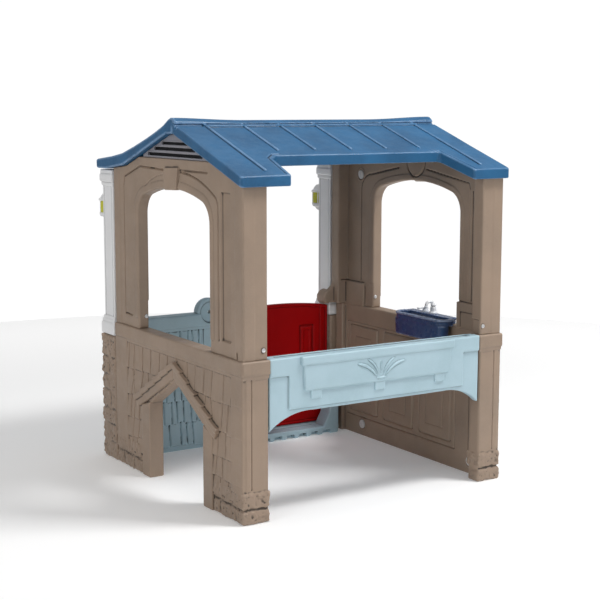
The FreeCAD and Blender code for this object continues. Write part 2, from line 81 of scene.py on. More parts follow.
def poly2(U, V, pts):
    """Exact signed distance to a closed polygon."""
    U, V = np.broadcast_arrays(U, V)
    d = np.full(U.shape, 1e12, F32)
    inside = np.zeros(U.shape, bool)
    n = len(pts)
    for i in range(n):
        (ax, ay), (bx, by) = pts[i], pts[(i + 1) % n]
        ex, ey = bx - ax, by - ay
        L = ex * ex + ey * ey
        if L < 1e-9:
            continue
        wx, wy = U - ax, V - ay
        t = np.clip((wx * ex + wy * ey) / L, 0, 1)
        dx, dy = wx - ex * t, wy - ey * t
        d = np.minimum(d, dx * dx + dy * dy)
        if ay != by:
            c = (ay > V) != (by > V)
            xi = ax + (V - ay) * (ex / ey)
            inside ^= c & (U < xi)
    d = np.sqrt(d)
    return np.where(inside, -d, d).astype(F32)


def line2(U, V, pts):
    """Distance to an open polyline."""
    U, V = np.broadcast_arrays(U, V)
    d = np.full(U.shape, 1e12, F32)
    for (ax, ay), (bx, by) in zip(pts, pts[1:]):
        ex, ey = bx - ax, by - ay
        L = max(ex * ex + ey * ey, 1e-9)
        wx, wy = U - ax, V - ay
        t = np.clip((wx * ex + wy * ey) / L, 0, 1)
        dx, dy = wx - ex * t, wy - ey * t
        d = np.minimum(d, dx * dx + dy * dy)
    return np.sqrt(d).astype(F32)


def rbox2(U, V, u0, v0, u1, v1, r=0.0):
    return rmax(span(U, u0, u1), span(V, v0, v1), r)


def box3(G, lo, hi, r=3.0):
    X, Y, Z = G
    return rmax(rmax(span(X, lo[0], hi[0]), span(Y, lo[1], hi[1]), r), span(Z, lo[2], hi[2]), r)


def cyl3(G, axis, c, rad, lo, hi, r=1.5):
    X, Y, Z = G
    p = {"X": (Y, Z, X), "Y": (X, Z, Y), "Z": (X, Y, Z)}[axis]
    return rmax(np.sqrt((p[0] - c[0]) ** 2 + (p[1] - c[1]) ** 2) - rad, span(p[2], lo, hi), r)


def round_poly(pts, r, n=5):
    """The polygon with every corner turned into an arc of radius up to r."""
    out = []
    m = len(pts)
    for i in range(m):
        p0, p1, p2 = (np.array(pts[(i + k) % m], float) for k in (-1, 0, 1))
        a, b = p0 - p1, p2 - p1
        la, lb = np.linalg.norm(a), np.linalg.norm(b)
        a, b = a / la, b / lb
        ang = math.acos(max(-1, min(1, float(a @ b))))
        if ang > math.pi - 0.05:
            out.append(tuple(p1))
            continue
        rr = min(r, 0.45 * min(la, lb) * math.tan(ang / 2))
        t = rr / math.tan(ang / 2)
        s, e = p1 + a * t, p1 + b * t
        c = p1 + (a + b) / np.linalg.norm(a + b) * (rr / math.sin(ang / 2))
        a0 = math.atan2(*(s - c)[::-1])
        a1 = math.atan2(*(e - c)[::-1])
        da = (a1 - a0 + math.pi) % (2 * math.pi) - math.pi
        out += [(c[0] + rr * math.cos(a0 + da * k / n), c[1] + rr * math.sin(a0 + da * k / n)) for k in range(n + 1)]
    return out


def arc3(a, m, b, n=16):
    """Points on the arc through three points, without the first."""
    (ax, ay), (bx, by), (cx, cy) = a, m, b
    d = 2 * (ax * (by - cy) + bx * (cy - ay) + cx * (ay - by))
    ux = ((ax * ax + ay * ay) * (by - cy) + (bx * bx + by * by) * (cy - ay) + (cx * cx + cy * cy) * (ay - by)) / d
    uy = ((ax * ax + ay * ay) * (cx - bx) + (bx * bx + by * by) * (ax - cx) + (cx * cx + cy * cy) * (bx - ax)) / d
    r = math.hypot(ax - ux, ay - uy)
    t0, t1, t2 = (math.atan2(p[1] - uy, p[0] - ux) for p in (a, m, b))
    s1 = (t1 - t0) % (2 * math.pi)
    s2 = (t2 - t0) % (2 * math.pi)
    if s1 > s2:
        s2 -= 2 * math.pi
    return [(ux + r * math.cos(t0 + s2 * k / n), uy + r * math.sin(t0 + s2 * k / n)) for k in range(1, n + 1)]


def lattice(shape, seed):
    return np.random.RandomState(int(seed)).uniform(-1, 1, shape).astype(F32)


def noise3(G, scale, seed):
    """Smooth value noise in -1..1 on the grid's own axes."""
    L = lattice((24, 24, 24), seed)
    out = L
    for k, v in enumerate(G):
        v = np.asarray(v, F32).ravel() / scale + 101.0
        i = np.floor(v).astype(int)
        f = v - i
        f = f * f * f * (f * (f * 6 - 15) + 10)
        a, b = np.take(out, i % 24, axis=k), np.take(out, (i + 1) % 24, axis=k)
        sh = [1, 1, 1]
        sh[k] = len(f)
        f = f.reshape(sh)
        out = a + (b - a) * f
    return out


def noise2(U, V, scale, seed):
    """The same for two broadcast coordinate arrays."""
    L = lattice((32, 32), seed)
    u, v = np.broadcast_arrays(U / scale + 64.0, V / scale + 64.0)
    i, j = np.floor(u).astype(int), np.floor(v).astype(int)
    f, g = u - i, v - j
    f, g = f * f * (3 - 2 * f), g * g * (3 - 2 * g)
    i0, i1, j0, j1 = i % 32, (i + 1) % 32, j % 32, (j + 1) % 32
    a = L[i0, j0] * (1 - f) + L[i1, j0] * f
    b = L[i0, j1] * (1 - f) + L[i1, j1] * f
    return (a * (1 - g) + b * g).astype(F32)


def rock(G, seed, amp=1.0):
    """Rough hewn relief: lumps, chips and a few cracks."""
    n = noise3(G, 26, seed) * 0.55 + noise3(G, 12, seed + 1) * 1.0 + noise3(G, 6.0, seed + 2) * 0.75
    crack = np.maximum(0, 0.14 - np.abs(noise3(G, 15, seed + 3))) * 5.0
    return (n - crack) * amp


def axis_grid(lo, hi, step, fine=None, coarse=None):
    """Grid lines from lo to hi.  With fine = [(a, b), ...] they are step apart there and
    up to coarse apart elsewhere."""
    if fine is None:
        n = max(2, int(round((hi - lo) / step)))
        return np.linspace(lo, hi, n + 1).astype(F32)
    pts, x = [lo], lo
    big = coarse
    while x < hi:
        near = min([0 if a <= x <= b else min(abs(a - x), abs(b - x)) for a, b in fine])
        ahead = min([a - x for a, b in fine if a > x] + [1e9])
        s = step if near <= 0 else min(big, step + 0.35 * near)
        s = max(step, min(s, max(step, ahead * 0.6)))
        x += s
        pts.append(x)
    return np.array(pts, F32)


def grid(xs, ys, zs):
    return xs[:, None, None], ys[None, :, None], zs[None, None, :]


class Block:
    """A field on a grid, with work done only in the box that a piece touches."""

    def __init__(self, xs, ys, zs):
        self.ax = (xs, ys, zs)
        self.G = grid(xs, ys, zs)
        self.F = np.full((len(xs), len(ys), len(zs)), 1e3, F32)

    def part(self, lo, hi, pad=12):
        s = []
        for v, a, b in zip(self.ax, lo, hi):
            i, j = np.searchsorted(v, a - pad), np.searchsorted(v, b + pad)
            s.append(slice(max(0, i - 1), min(len(v), j + 1)))
        return tuple(s)

    def sub(self, s):
        return tuple(v[q].reshape([-1 if i == k else 1 for i in range(3)]) for k, (v, q) in enumerate(zip(self.ax, s)))

    def add(self, lo, hi, f, r=0.0, pad=12):
        """Union of f(local grid) inside the box lo..hi."""
        s = self.part(lo, hi, pad)
        self.F[s] = rmin(self.F[s], f(self.sub(s)), r)

    def cut(self, lo, hi, f, r=0.0, pad=12):
        s = self.part(lo, hi, pad)
        self.F[s] = rmax(self.F[s], -f(self.sub(s)), r)

    def box(self, lo, hi, r=3.0, fil=0.0):
        self.add(lo, hi, lambda g: box3(g, lo, hi, r), fil)

    def stone(self, lo, hi, seed, r=8.0, amp=1.0, fil=0.0):
        self.add(lo, hi, lambda g: box3(g, [lo[k] + 1.5 for k in range(3)], [hi[k] - 1.5 for k in range(3)], r) - rock(g, seed, amp), fil)


# --------------------------------------------------------------------------------------
# surface of a field, as quads
# --------------------------------------------------------------------------------------
def nets(F, xs, ys, zs):
    S = F < 0
    if S[0].any() or S[-1].any() or S[:, 0].any() or S[:, -1].any() or S[:, :, 0].any() or S[:, :, -1].any():
        F = np.pad(F, 1, constant_values=5.0)
        xs, ys, zs = (np.concatenate([[v[0] - 0.5], v, [v[-1] + 0.5]]).astype(F32) for v in (xs, ys, zs))
        S = F < 0
    c = np.zeros([n - 1 for n in F.shape], np.int8)
    for i in (0, 1):
        for j in (0, 1):
            for k in (0, 1):
                c += S[i:F.shape[0] - 1 + i, j:F.shape[1] - 1 + j, k:F.shape[2] - 1 + k]
    active = (c > 0) & (c < 8)
    I, J, K = np.nonzero(active)
    idx = np.full(active.shape, -1, np.int32)
    idx[I, J, K] = np.arange(len(I), dtype=np.int32)
    acc = np.zeros((len(I), 3), np.float64)
    num = np.zeros(len(I))
    A = (xs, ys, zs)
    corners = [(i, j, k) for i in (0, 1) for j in (0, 1) for k in (0, 1)]
    for a in corners:
        for d in range(3):
            if a[d]:
                continue
            b = list(a)
            b[d] = 1
            fa = F[I + a[0], J + a[1], K + a[2]]
            fb = F[I + b[0], J + b[1], K + b[2]]
            m = (fa < 0) != (fb < 0)
            t = np.zeros(len(fa))
            t[m] = fa[m] / (fa[m] - fb[m])
            P = np.stack([A[0][I + a[0]], A[1][J + a[1]], A[2][K + a[2]]], 1).astype(np.float64)
            Qd = A[d][(I, J, K)[d] + 1] - A[d][(I, J, K)[d]]
            P[:, d] += t * Qd
            acc[m] += P[m]
            num[m] += 1
    verts = acc / num[:, None]
    quads = []
    nx, ny, nz = F.shape
    # edges along x
    e = np.nonzero(S[:-1, 1:-1, 1:-1] != S[1:, 1:-1, 1:-1])
    i, j, k = e[0], e[1] + 1, e[2] + 1
    q = np.stack([idx[i, j - 1, k - 1], idx[i, j, k - 1], idx[i, j, k], idx[i, j - 1, k]], 1)
    flip = ~S[i, j, k]
    q[flip] = q[flip][:, ::-1]
    quads.append(q)
    e = np.nonzero(S[1:-1, :-1, 1:-1] != S[1:-1, 1:, 1:-1])
    i, j, k = e[0] + 1, e[1], e[2] + 1
    q = np.stack([idx[i - 1, j, k - 1], idx[i - 1, j, k], idx[i, j, k], idx[i, j, k - 1]], 1)
    flip = ~S[i, j, k]
    q[flip] = q[flip][:, ::-1]
    quads.append(q)
    e = np.nonzero(S[1:-1, 1:-1, :-1] != S[1:-1, 1:-1, 1:])
    i, j, k = e[0] + 1, e[1] + 1, e[2]
    q = np.stack([idx[i - 1, j - 1, k], idx[i, j - 1, k], idx[i, j, k], idx[i - 1, j, k]], 1)
    flip = ~S[i, j, k]
    q[flip] = q[flip][:, ::-1]
    quads.append(q)
    return verts, np.concatenate(quads)


def curvature(verts, quads):
    """Signed bend at each vertex: above 0 on outer edges, below 0 in grooves."""
    n = len(verts)
    p = verts[quads]
    fn = np.cross(p[:, 2] - p[:, 0], p[:, 3] - p[:, 1])
    vn = np.zeros((n, 3))
    for k in range(4):
        for d in range(3):
            vn[:, d] += np.bincount(quads[:, k], fn[:, d], n)
    vn /= np.maximum(np.linalg.norm(vn, axis=1), 1e-12)[:, None]
    e = np.concatenate([quads[:, [k, (k + 1) % 4]] for k in range(4)])
    a, b = e[:, 0], e[:, 1]
    cnt = np.maximum(np.bincount(a, minlength=n) + np.bincount(b, minlength=n), 1)

    def mean(v):
        return (np.bincount(a, v[b], n) + np.bincount(b, v[a], n)) / cnt

    dv = np.stack([mean(verts[:, d]) for d in range(3)], 1) - verts
    cur = -(dv * vn).sum(1)
    for _ in range(3):
        cur = 0.5 * cur + 0.5 * mean(cur)
    return cur.astype(F32)


MATS = {}


def make_piece(name, node, verts, quads, mat, mirror=False, body="house", also=()):
    """A Blender object from corner-frame millimetres, which stands for the CAD node."""
    verts = np.array(verts, float)
    cur = curvature(verts, quads)
    if mirror:
        verts[:, 0] = WIDTH - verts[:, 0]
        quads = quads[:, ::-1]
    v = (verts + CORNER) / 1000.0
    me = bpy.data.meshes.new(name)
    me.vertices.add(len(v))
    me.vertices.foreach_set("co", v.astype(F32).ravel())
    me.loops.add(len(quads) * 4)
    me.loops.foreach_set("vertex_index", quads.astype(np.int32).ravel())
    me.polygons.add(len(quads))
    me.polygons.foreach_set("loop_start", np.arange(len(quads), dtype=np.int32) * 4)
    me.polygons.foreach_set("use_smooth", np.ones(len(quads), bool))
    me.update(calc_edges=True)
    at = me.attributes.new("bend", "FLOAT", "POINT")
    at.data.foreach_set("value", cur)
    me.validate()
    ob = bpy.data.objects.new(name, me)
    bpy.context.scene.collection.objects.link(ob)
    me.materials.append(MATS[mat])
    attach(ob, body)
    if node:
        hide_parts(node, *also)
    {"vent_slot_shade": "vent_grey", "plug_grey": "light_grey"}.get(mat, mat)
    return ob


def from_block(name, node, blk, mat, **kw):
    v, q = nets(blk.F, *blk.ax)
    return make_piece(name, node, v, q, mat, **kw)


# --------------------------------------------------------------------------------------
# surface relief, as heights above a face in millimetres
# --------------------------------------------------------------------------------------
def groove(d, half, depth):
    return -depth * (1 - sstep(half * 0.25, half, d))


def ledge(d, soft, height):
    """Raised (or sunk) inside an outline given by its signed distance."""
    return height * (1 - sstep(-soft, soft * 0.3, d))


def shakes(U, V, rows, seed, thick=6.2):
    """Hand-split shingles in rows: (bottom, top, vertical joints, lean)."""
    U, V = np.broadcast_arrays(U, V)
    H = np.zeros(U.shape, F32)
    rng = np.random.RandomState(seed)
    grain = noise2(U, V * 0.07, 5.0, seed + 7) * 0.28 + noise2(U, V * 0.2, 14.0, seed + 8) * 0.5
    for zb, zt, joints, lean in rows:
        n = len(joints) + 1
        st = rng.uniform(-4.2, 4.2, n)
        th = rng.uniform(-0.7, 0.7, n)
        tilt = rng.uniform(-0.03, 0.03, n)
        leans = rng.uniform(-1, 1, len(joints)) * lean
        gap = np.full(U.shape, 1e3, F32)
        k = np.zeros(U.shape, int)
        for j, u0 in enumerate(joints):
            x = u0 + leans[j] * (V - zb)
            gap = np.minimum(gap, np.abs(U - x))
            k += (U > x)
        mid = np.concatenate([[joints[0] - 25], (np.array(joints[:-1]) + np.array(joints[1:])) / 2, [joints[-1] + 25]]) if len(joints) else np.array([float(U.mean())])
        foot = zb + st[k] + tilt[k] * (U - mid[k])
        up = V - foot
        t = np.clip(up / (zt - zb), 0, 1)
        h = (thick + th[k]) * (1 - 0.86 * t) + grain
        h = h + groove(gap, 3.3, 6.5)
        w = sstep(-1.0, 1.0, up) * (V < zt + 6)
        H = H * (1 - w) + h * w
    return H


def stones(blk, cells, seed, depth, out, y_is=1, fil=0.0, amp=1.0):
    for i, (lo, hi) in enumerate(cells):
        blk.stone(lo, hi, seed + 11 * i, amp=amp, fil=fil)


UNDER0 = 1009 - 33


def under(y):
    return UNDER0 + (y + 17) * 0.342


def top(y):
    return 1009 + (y + 17) * 0.342


# --------------------------------------------------------------------------------------
# lower walls
# --------------------------------------------------------------------------------------
GABLE_L = [(159, 225), (236, 263), (418, 363), (418, 416), (139, 257)]


def lower_wall(right):
    tag = "right" if right else "left"
    xs = axis_grid(-22, 92, 1.7, fine=[(-22, 8), (38, 50), (78, 90)], coarse=4.0)
    ys = axis_grid(-16, 862, 2.7)
    zs = axis_grid(-3, 486, 2.7)
    b = Block(xs, ys, zs)
    X, Y, Z = b.G
    seed = 40 if right else 20
    # outside: shingles in four rows under the rail
    row1 = [66, 112, 187, 235, 289, 341, 412, 475, 531, 592, 650, 714, 753]
    if right:
        rng = np.random.RandomState(5)
        rows = []
        for zb, zt in ((64, 114), (114, 178), (178, 254), (254, 343)):
            j, y = [], 66 + rng.uniform(15, 45)
            while y < 750:
                j.append(round(y, 1))
                y += rng.uniform(38, 74)
            rows.append((zb, zt, j, 0.1))
        rows.append((343, 432, row1, 0.04))
    else:
        rows = [
            (60, 113, [92, 140, 700, 738], 0.1),
            (113, 178, [118, 160, 688, 727], 0.25),
            (178, 254, [100, 146, 681, 716, 742], 0.25),
            (254, 343, [92, 128, 176, 236, 300, 360, 420, 486, 540, 604, 668, 704, 738], 0.35),
            (343, 432, row1, 0.05),
        ]
    y2, z2 = Y[0], Z[0]
    H = shakes(y2, z2, rows, seed)
    # inside: boards, a skirting line and a plain raised field
    I = np.zeros(H.shape, F32)
    if right:
        for y0, y1 in ((187, 361), (397, 571), (607, 781)):
            r = rbox2(y2, z2, y0, 86, y1, 406, 9)
            I += groove(np.abs(r), 3.4, 3.6) + ledge(r + 4, 3, 3.0)
            I += groove(np.abs(r + 40), 3.0, 1.6) + ledge(r + 42, 3, 1.4)
        I += groove(np.abs(rbox2(y2, z2, 166, 68, 800, 416, 4)), 3.4, 3.8)
        I += groove(line2(y2, z2, [(97, 58), (97, 424)]), 3.8, 4.2)
        I += groove(line2(y2, z2, [(52, 60), (97, 60)]), 3.4, 3.0)
    else:
        I += groove(line2(y2, z2, [(147, 12), (147, 300), (190, 424)]), 4.5, 2.8)
        I += groove(line2(y2, z2, [(724, 12), (724, 300), (682, 424)]), 4.5, 2.8)
        I += ledge(rbox2(y2, z2, 212, 378, 660, 424, 8), 7, 3.0)
    for y in (84, 699):
        d = np.sqrt((y2 - y) ** 2 + (z2 - 44) ** 2)
        I += ledge(d - 26, 3, 2.2) - ledge(d - 18.5, 2, 5.2)
    out2 = rbox2(y2, z2, 0, 0, 856, 481, 6)
    if not right:
        arch = round_poly([(236, -40), (600, -40), (600, 250), (418, 357), (236, 250)], 8)
        out2 = rmax(out2, -poly2(y2, z2, arch), 0)
    b.F[:] = rmax(rmax(-(X + H[None]), X - (44 + I[None]), 2), out2[None], 5)
    # front corner post and rear post
    b.box((0, 0, 0), (82, 46, 481), 4.5, 3)
    b.box((0, 812, 0), (60, 856, 481), 4.5, 3)
    # plain boards at both ends
    for y0, y1 in ((0, 68), (769, 856)):
        b.box((-5, y0, 90), (10, y1, 436), 2.5)
    b.box((6, -3, 90), (80, 10, 436), 2.5, 2)
    # stones round the foot
    dep = -7.5
    for z0, z1, dd in ((0, 42.5, 0), (46.5, 97, 1)):
        b.stone((dep, dep, z0), (85, 41 + 15 * dd, z1), seed + int(z0), amp=2.0, r=6)
        if right:
            j = [60, 135, 250, 352, 470, 560, 668, 762, 856] if dd else [44, 180, 300, 405, 520, 610, 715, 790, 856]
            cells = [(a + 3.5, c) for a, c in zip(j, j[1:])]
        else:
            cells = ((64, 118), (122, 176)) if dd else ((44, 136), (140, 177))
            cells += ((670, 751), (756, 856)) if dd else ((661, 722), (727, 800), (805, 856))
        for n, (a, c) in enumerate(cells):
            b.stone((dep + 1, a, z0), (14, c, z1), seed + 97 * n + int(z0) + 3, amp=1.9, r=6)
    if not right:
        # jamb boards, then the little gabled hood with its short shingles
        b.add((-8, 178, -1), (10, 237, 262), lambda g: rmax(rmax(span(g[0], -7.5, 10), poly2(g[1], g[2], [(179, 0), (236, 0), (236, 252), (179, 236)]), 3), -g[2], 1), 0)
        b.add((-8, 599, -1), (10, 656, 262), lambda g: rmax(rmax(span(g[0], -7.5, 10), poly2(g[1], g[2], [(600, 0), (655, 0), (655, 236), (600, 252)]), 3), -g[2], 1), 0)
        for s in (False, True):
            m = (lambda y: 836 - y) if s else (lambda y: y)
            pts = [(m(y), z) for y, z in GABLE_L]
            lo, hi = min(p[0] for p in pts), max(p[0] for p in pts)
            b.add((-16, lo, 220), (10, hi, 430), lambda g: rmax(span(g[0], -12.5, 10), poly2(g[1], g[2], pts), 3.5))
            # overlapping tabs up the slope
            ux, uz = 279.0, 159.0
            L = math.hypot(ux, uz)
            ux, uz = ux / L, uz / L
            nx, nz = -uz, ux
            step = L / 6.0
            for i in range(6):
                s0, s1 = i * step - 2, (i + 1.12) * step
                q = []
                for sv, nv in ((s0, 5.0), (s1, -2.5), (s1, -19.0), (s0, -15.0)):
                    q.append((m(139 + ux * sv + nx * nv), 257 + uz * sv + nz * nv))
                ylo, yhi = min(p[0] for p in q), max(p[0] for p in q)
                lim = 418.5
                b.add((-20, ylo - 2, 230), (12, yhi + 2, 432),
                      lambda g, q=q: rmax(rmax(span(g[0], -17.5, 12), poly2(g[1], g[2], q), 2.5), (g[1] - lim) if not s else (lim - 1 - g[1]), 1), 1.0)
    # rail moulding all round, with a small step under it
    for lo, hi, r in (((-8, -8, 437), (87, 51, 481), 5.5), ((-5, -5, 427), (84, 48, 440), 3.5)):
        b.box(lo, hi, r, 1.5)
    for lo, hi, r in (((-8, 0, 437), (12, 856, 481), 5.5), ((-5, 0, 427), (12, 856, 440), 3.5)):
        b.box(lo, hi, r, 1.5)
    # a soft butt joint in the band's front face
    b.cut((16, -10, 428), (28, -4, 480), lambda g: rmax(rmax(np.abs(g[0] - 22) - 1.5, span(g[2], 430, 479), 0), g[1] + 5.8, 0))
    b.cut((17, -3, 98), (30, 3, 430), lambda g: rmax(rmax(np.abs(g[0] - 24) - 1.4, span(g[2], 100, 428), 0), g[1] - 0.7, 0))
    v, q = nets(b.F, *b.ax)
    v[:, 2] = np.maximum(v[:, 2], 0)
    return make_piece(tag + "_lower_wall_shell", tag + "_lower_wall", v, q, "tan", mirror=right)


# --------------------------------------------------------------------------------------
# upper walls
# --------------------------------------------------------------------------------------
def upper_wall(right):
    tag = "right" if right else "left"
    wf, wb = (168, 652) if right else (197, 679)
    wm = (wf + wb) / 2
    if right:
        xs = axis_grid(-10, 128, 1.7, fine=[(-10, 8), (30, 48), (74, 84)], coarse=4.0)
        ys = axis_grid(-4, 895, 2.8)
        zs = axis_grid(472, 1048, 2.8)
    else:
        xs = axis_grid(-10, 84, 1.7, fine=[(-10, 8), (30, 48), (74, 84)], coarse=4.0)
        ys = axis_grid(-4, 860, 2.7)
        zs = axis_grid(477, 1048, 2.7)
    b = Block(xs, ys, zs)
    X, Y, Z = b.G
    y2, z2 = Y[0], Z[0]
    win = [(wb, 430), (wb, 856)] + arc3((wb, 856), (wb - 12, 896), (wb - 42, 921), 9) + arc3((wb - 42, 921), (wm, 951), (wf + 42, 921), 34)
    win += arc3((wf + 42, 921), (wf + 12, 896), (wf, 856), 9) + [(wf, 430)]
    yt = -17 + (1041 - UNDER0) / 0.342
    outline = [(0, 481), (856, 481), (856, 998.1), (756, 1010.8), (667.2, 1041), (yt, 1041), (0, under(0))]
    out2 = poly2(y2, z2, outline)
    dwin = poly2(y2, z2, win)
    H = np.zeros(out2.shape, F32)
    # outside: the arch's trim lines, strips on both legs, outer frame line
    trim = [(145, 523), (145, 900)] + arc3((145, 900), (148, 920), (158, 938), 5) + arc3((158, 938), (262, 984), (385, 1003), 12)
    H += groove(line2(y2, z2, trim), 4.0, 7.5)
    H += groove(line2(y2, z2, arc3((478, 993), (559, 979), (622, 950), 8)), 3.6, 2.2)
    H += groove(line2(y2, z2, [(389, 1009), (208, 1008)]), 3.6, 6.0)
    H += groove(line2(y2, z2, [(477, 1006), (659, 1011), (773, 974), (781, 940), (781, 522), (733, 520)]), 3.8, 7.0)
    H -= ledge(rbox2(y2, z2, 71, 524, 129, 958, 6), 2.6, 6.5)
    H += ledge(dwin - 24, 2.6, 2.2) * (z2 > 520)
    # inside: ring behind the keystone, frame line and the foot blocks
    I = np.zeros(out2.shape, F32)
    if right:
        I += groove(line2(y2, z2, [(104, 575), (104, 930)]), 4.4, 4.6) + groove(line2(y2, z2, [(119, 575), (119, 938)]), 3.6, 3.0)
        I += groove(line2(y2, z2, [(505, 992), (664, 962)] + arc3((664, 962), (716, 940), (730, 890), 6) + [(730, 575)]), 4.4, 4.6)
        I += groove(line2(y2, z2, [(119, 938), (126, 956), (350, 992)]), 4.0, 4.0)
        I += ledge(dwin - 22, 2.6, 2.2) * (z2 > 572)
        dk = np.sqrt((y2 - 409) ** 2 + (z2 - 1014) ** 2)
        I += groove(np.abs(dk - 50), 3.8, 4.6) + ledge(dk - 46, 3, 2.6)
    else:
        I += groove(line2(y2, z2, [(108, 575), (108, 930)] + arc3((108, 930), (116, 948), (140, 955), 5) + [(360, 992)]), 4.6, 4.6)
        I += groove(line2(y2, z2, [(500, 992), (664, 958)] + arc3((664, 958), (716, 936), (735, 890), 6) + [(735, 575)]), 4.6, 4.6)
        I += ledge(dwin - 24, 2.6, 2.4) * (z2 > 572)
        dk = np.sqrt((y2 - 432) ** 2 + (z2 - 1000) ** 2)
        I += ledge(dk - 40, 3, 5.0) - ledge(dk - 30, 3, 4.0)
    for y, z in ((731, 957),):
        d = np.sqrt((y2 - y) ** 2 + (z2 - z) ** 2)
        I += ledge(d - 26, 3, 2.2) - ledge(d - 18.5, 2, 5.2)
    b.F[:] = rmax(rmax(rmax(-(X + H[None]), X - (36.0 + I[None]), 4), out2[None], 3), -dwin[None], 7)
    # front and rear posts, turned in
    b.add((0, 0, 478), (80, 46, 1010), lambda g: rmax(rmax(rmax(span(g[0], 0, 80), span(g[1], 0, 46), 4.5), 481.4 - g[2], 3), g[2] - under(0) - 0.342 * g[1], 1), 5)
    b.add((0, 812, 478), (80, 856, 1010), lambda g: rmax(rmax(rmax(span(g[0], 0, 80), span(g[1], 812, 856), 4.5), 481.4 - g[2], 3), g[2] - 998 + (g[1] - 856) * 0.127, 1), 5)
    # keystone, proud outside
    o = wm - 438
    key = round_poly([(399 + o, 948), (475 + o, 945), (480 + o, 1013), (386 + o, 1017)], 4)
    b.add((-7, 380 + o, 940), (12, 486 + o, 1022), lambda g: rmax(span(g[0], -7, 12), poly2(g[1], g[2], key), 2.5))
    b.cut((-4, 374 + o, 944), (6, 402 + o, 1018), lambda g: rmax(line2(g[1], g[2], [(395.5 + o, 948), (382.5 + o, 1014)]) - 2.6, g[0] - 5.5, 0), 1.0)
    # feet inside, with a ledge and a shallow recess
    for y0, y1 in ((44, 168 if right else 154), (702, 814)):
        b.box((20, y0, 478), (45, y1, 566), 3.0, 1.5)
        b.cut((36, y0 + 2, 563), (48, y1 + 4, 571), lambda g: rmax(rmax(np.abs(g[2] - 568) - 1.8, 36 - g[0], 0), 0 * g[1] - 9, 0), 0.8)
    if right:
        b.cut((39, 50, 476), (50, 152, 540), lambda g: rmax(rmax(rbox2(g[1], g[2], 50, 460, 151, 536, 4), 40.6 - g[0], 1), 0 * g[2] - 9, 0), 1.0)
        b.cut((75, 6, 476), (84, 40, 534), lambda g: rmax(rbox2(g[1], g[2], 12, 460, 60, 529, 3), 76 - g[0], 1), 1.0)
        # ear that holds the top pin of the door, growing out of the rear post
        ear = round_poly([(74, 478), (74, 566), (84, 545), (98, 532), (114, 522), (123.5, 507), (122, 489), (115, 480)], 6)
        b.add((72, 838, 474), (126, 857, 568), lambda g: rmax(rmax(span(g[1], 838.5, 858), poly2(g[0], g[2], ear), 4), 481.5 - g[2], 1.5), 3)
        ear2 = round_poly([(90.5, 476.5), (90.5, 532), (114, 522), (123.5, 507), (122, 488), (115, 476.5)], 5)
        b.add((88, 850, 474), (126, 892, 534), lambda g: rmax(span(g[1], 850, 891.5), poly2(g[0], g[2], ear2), 4.5), 2)
        b.cut((98, 868, 470), (118, 888, 500), lambda g: cyl3(g, "Z", (108, 878), 5.3, 465, 497, 0.4), 0.5)
    # a small notch low on the post, and the screw seats
    b.cut((-4, 31, 478), (10, 43, 506), lambda g: rmax(rmax(np.abs(g[1] - 37) - 3.2, g[2] - 502, 0), g[0] - 8.0, 0), 0.4)
    sx = 71 if right else 66
    b.cut((sx - 9, -3, 499), (sx + 9, 4, 519), lambda g: cyl3(g, "Y", (sx, 509), 8.8, -5, 2.2, 0.4), 0.5)
    b.cut((14, wb - 4, 508), (38, wb + 6, 534), lambda g: cyl3(g, "Y", (26, 521), 8.4, wb - 6, wb + 1.2, 0.4), 0.5)
    return from_block(tag + "_upper_wall_shell", tag + "_upper_wall", b, "tan", mirror=right)


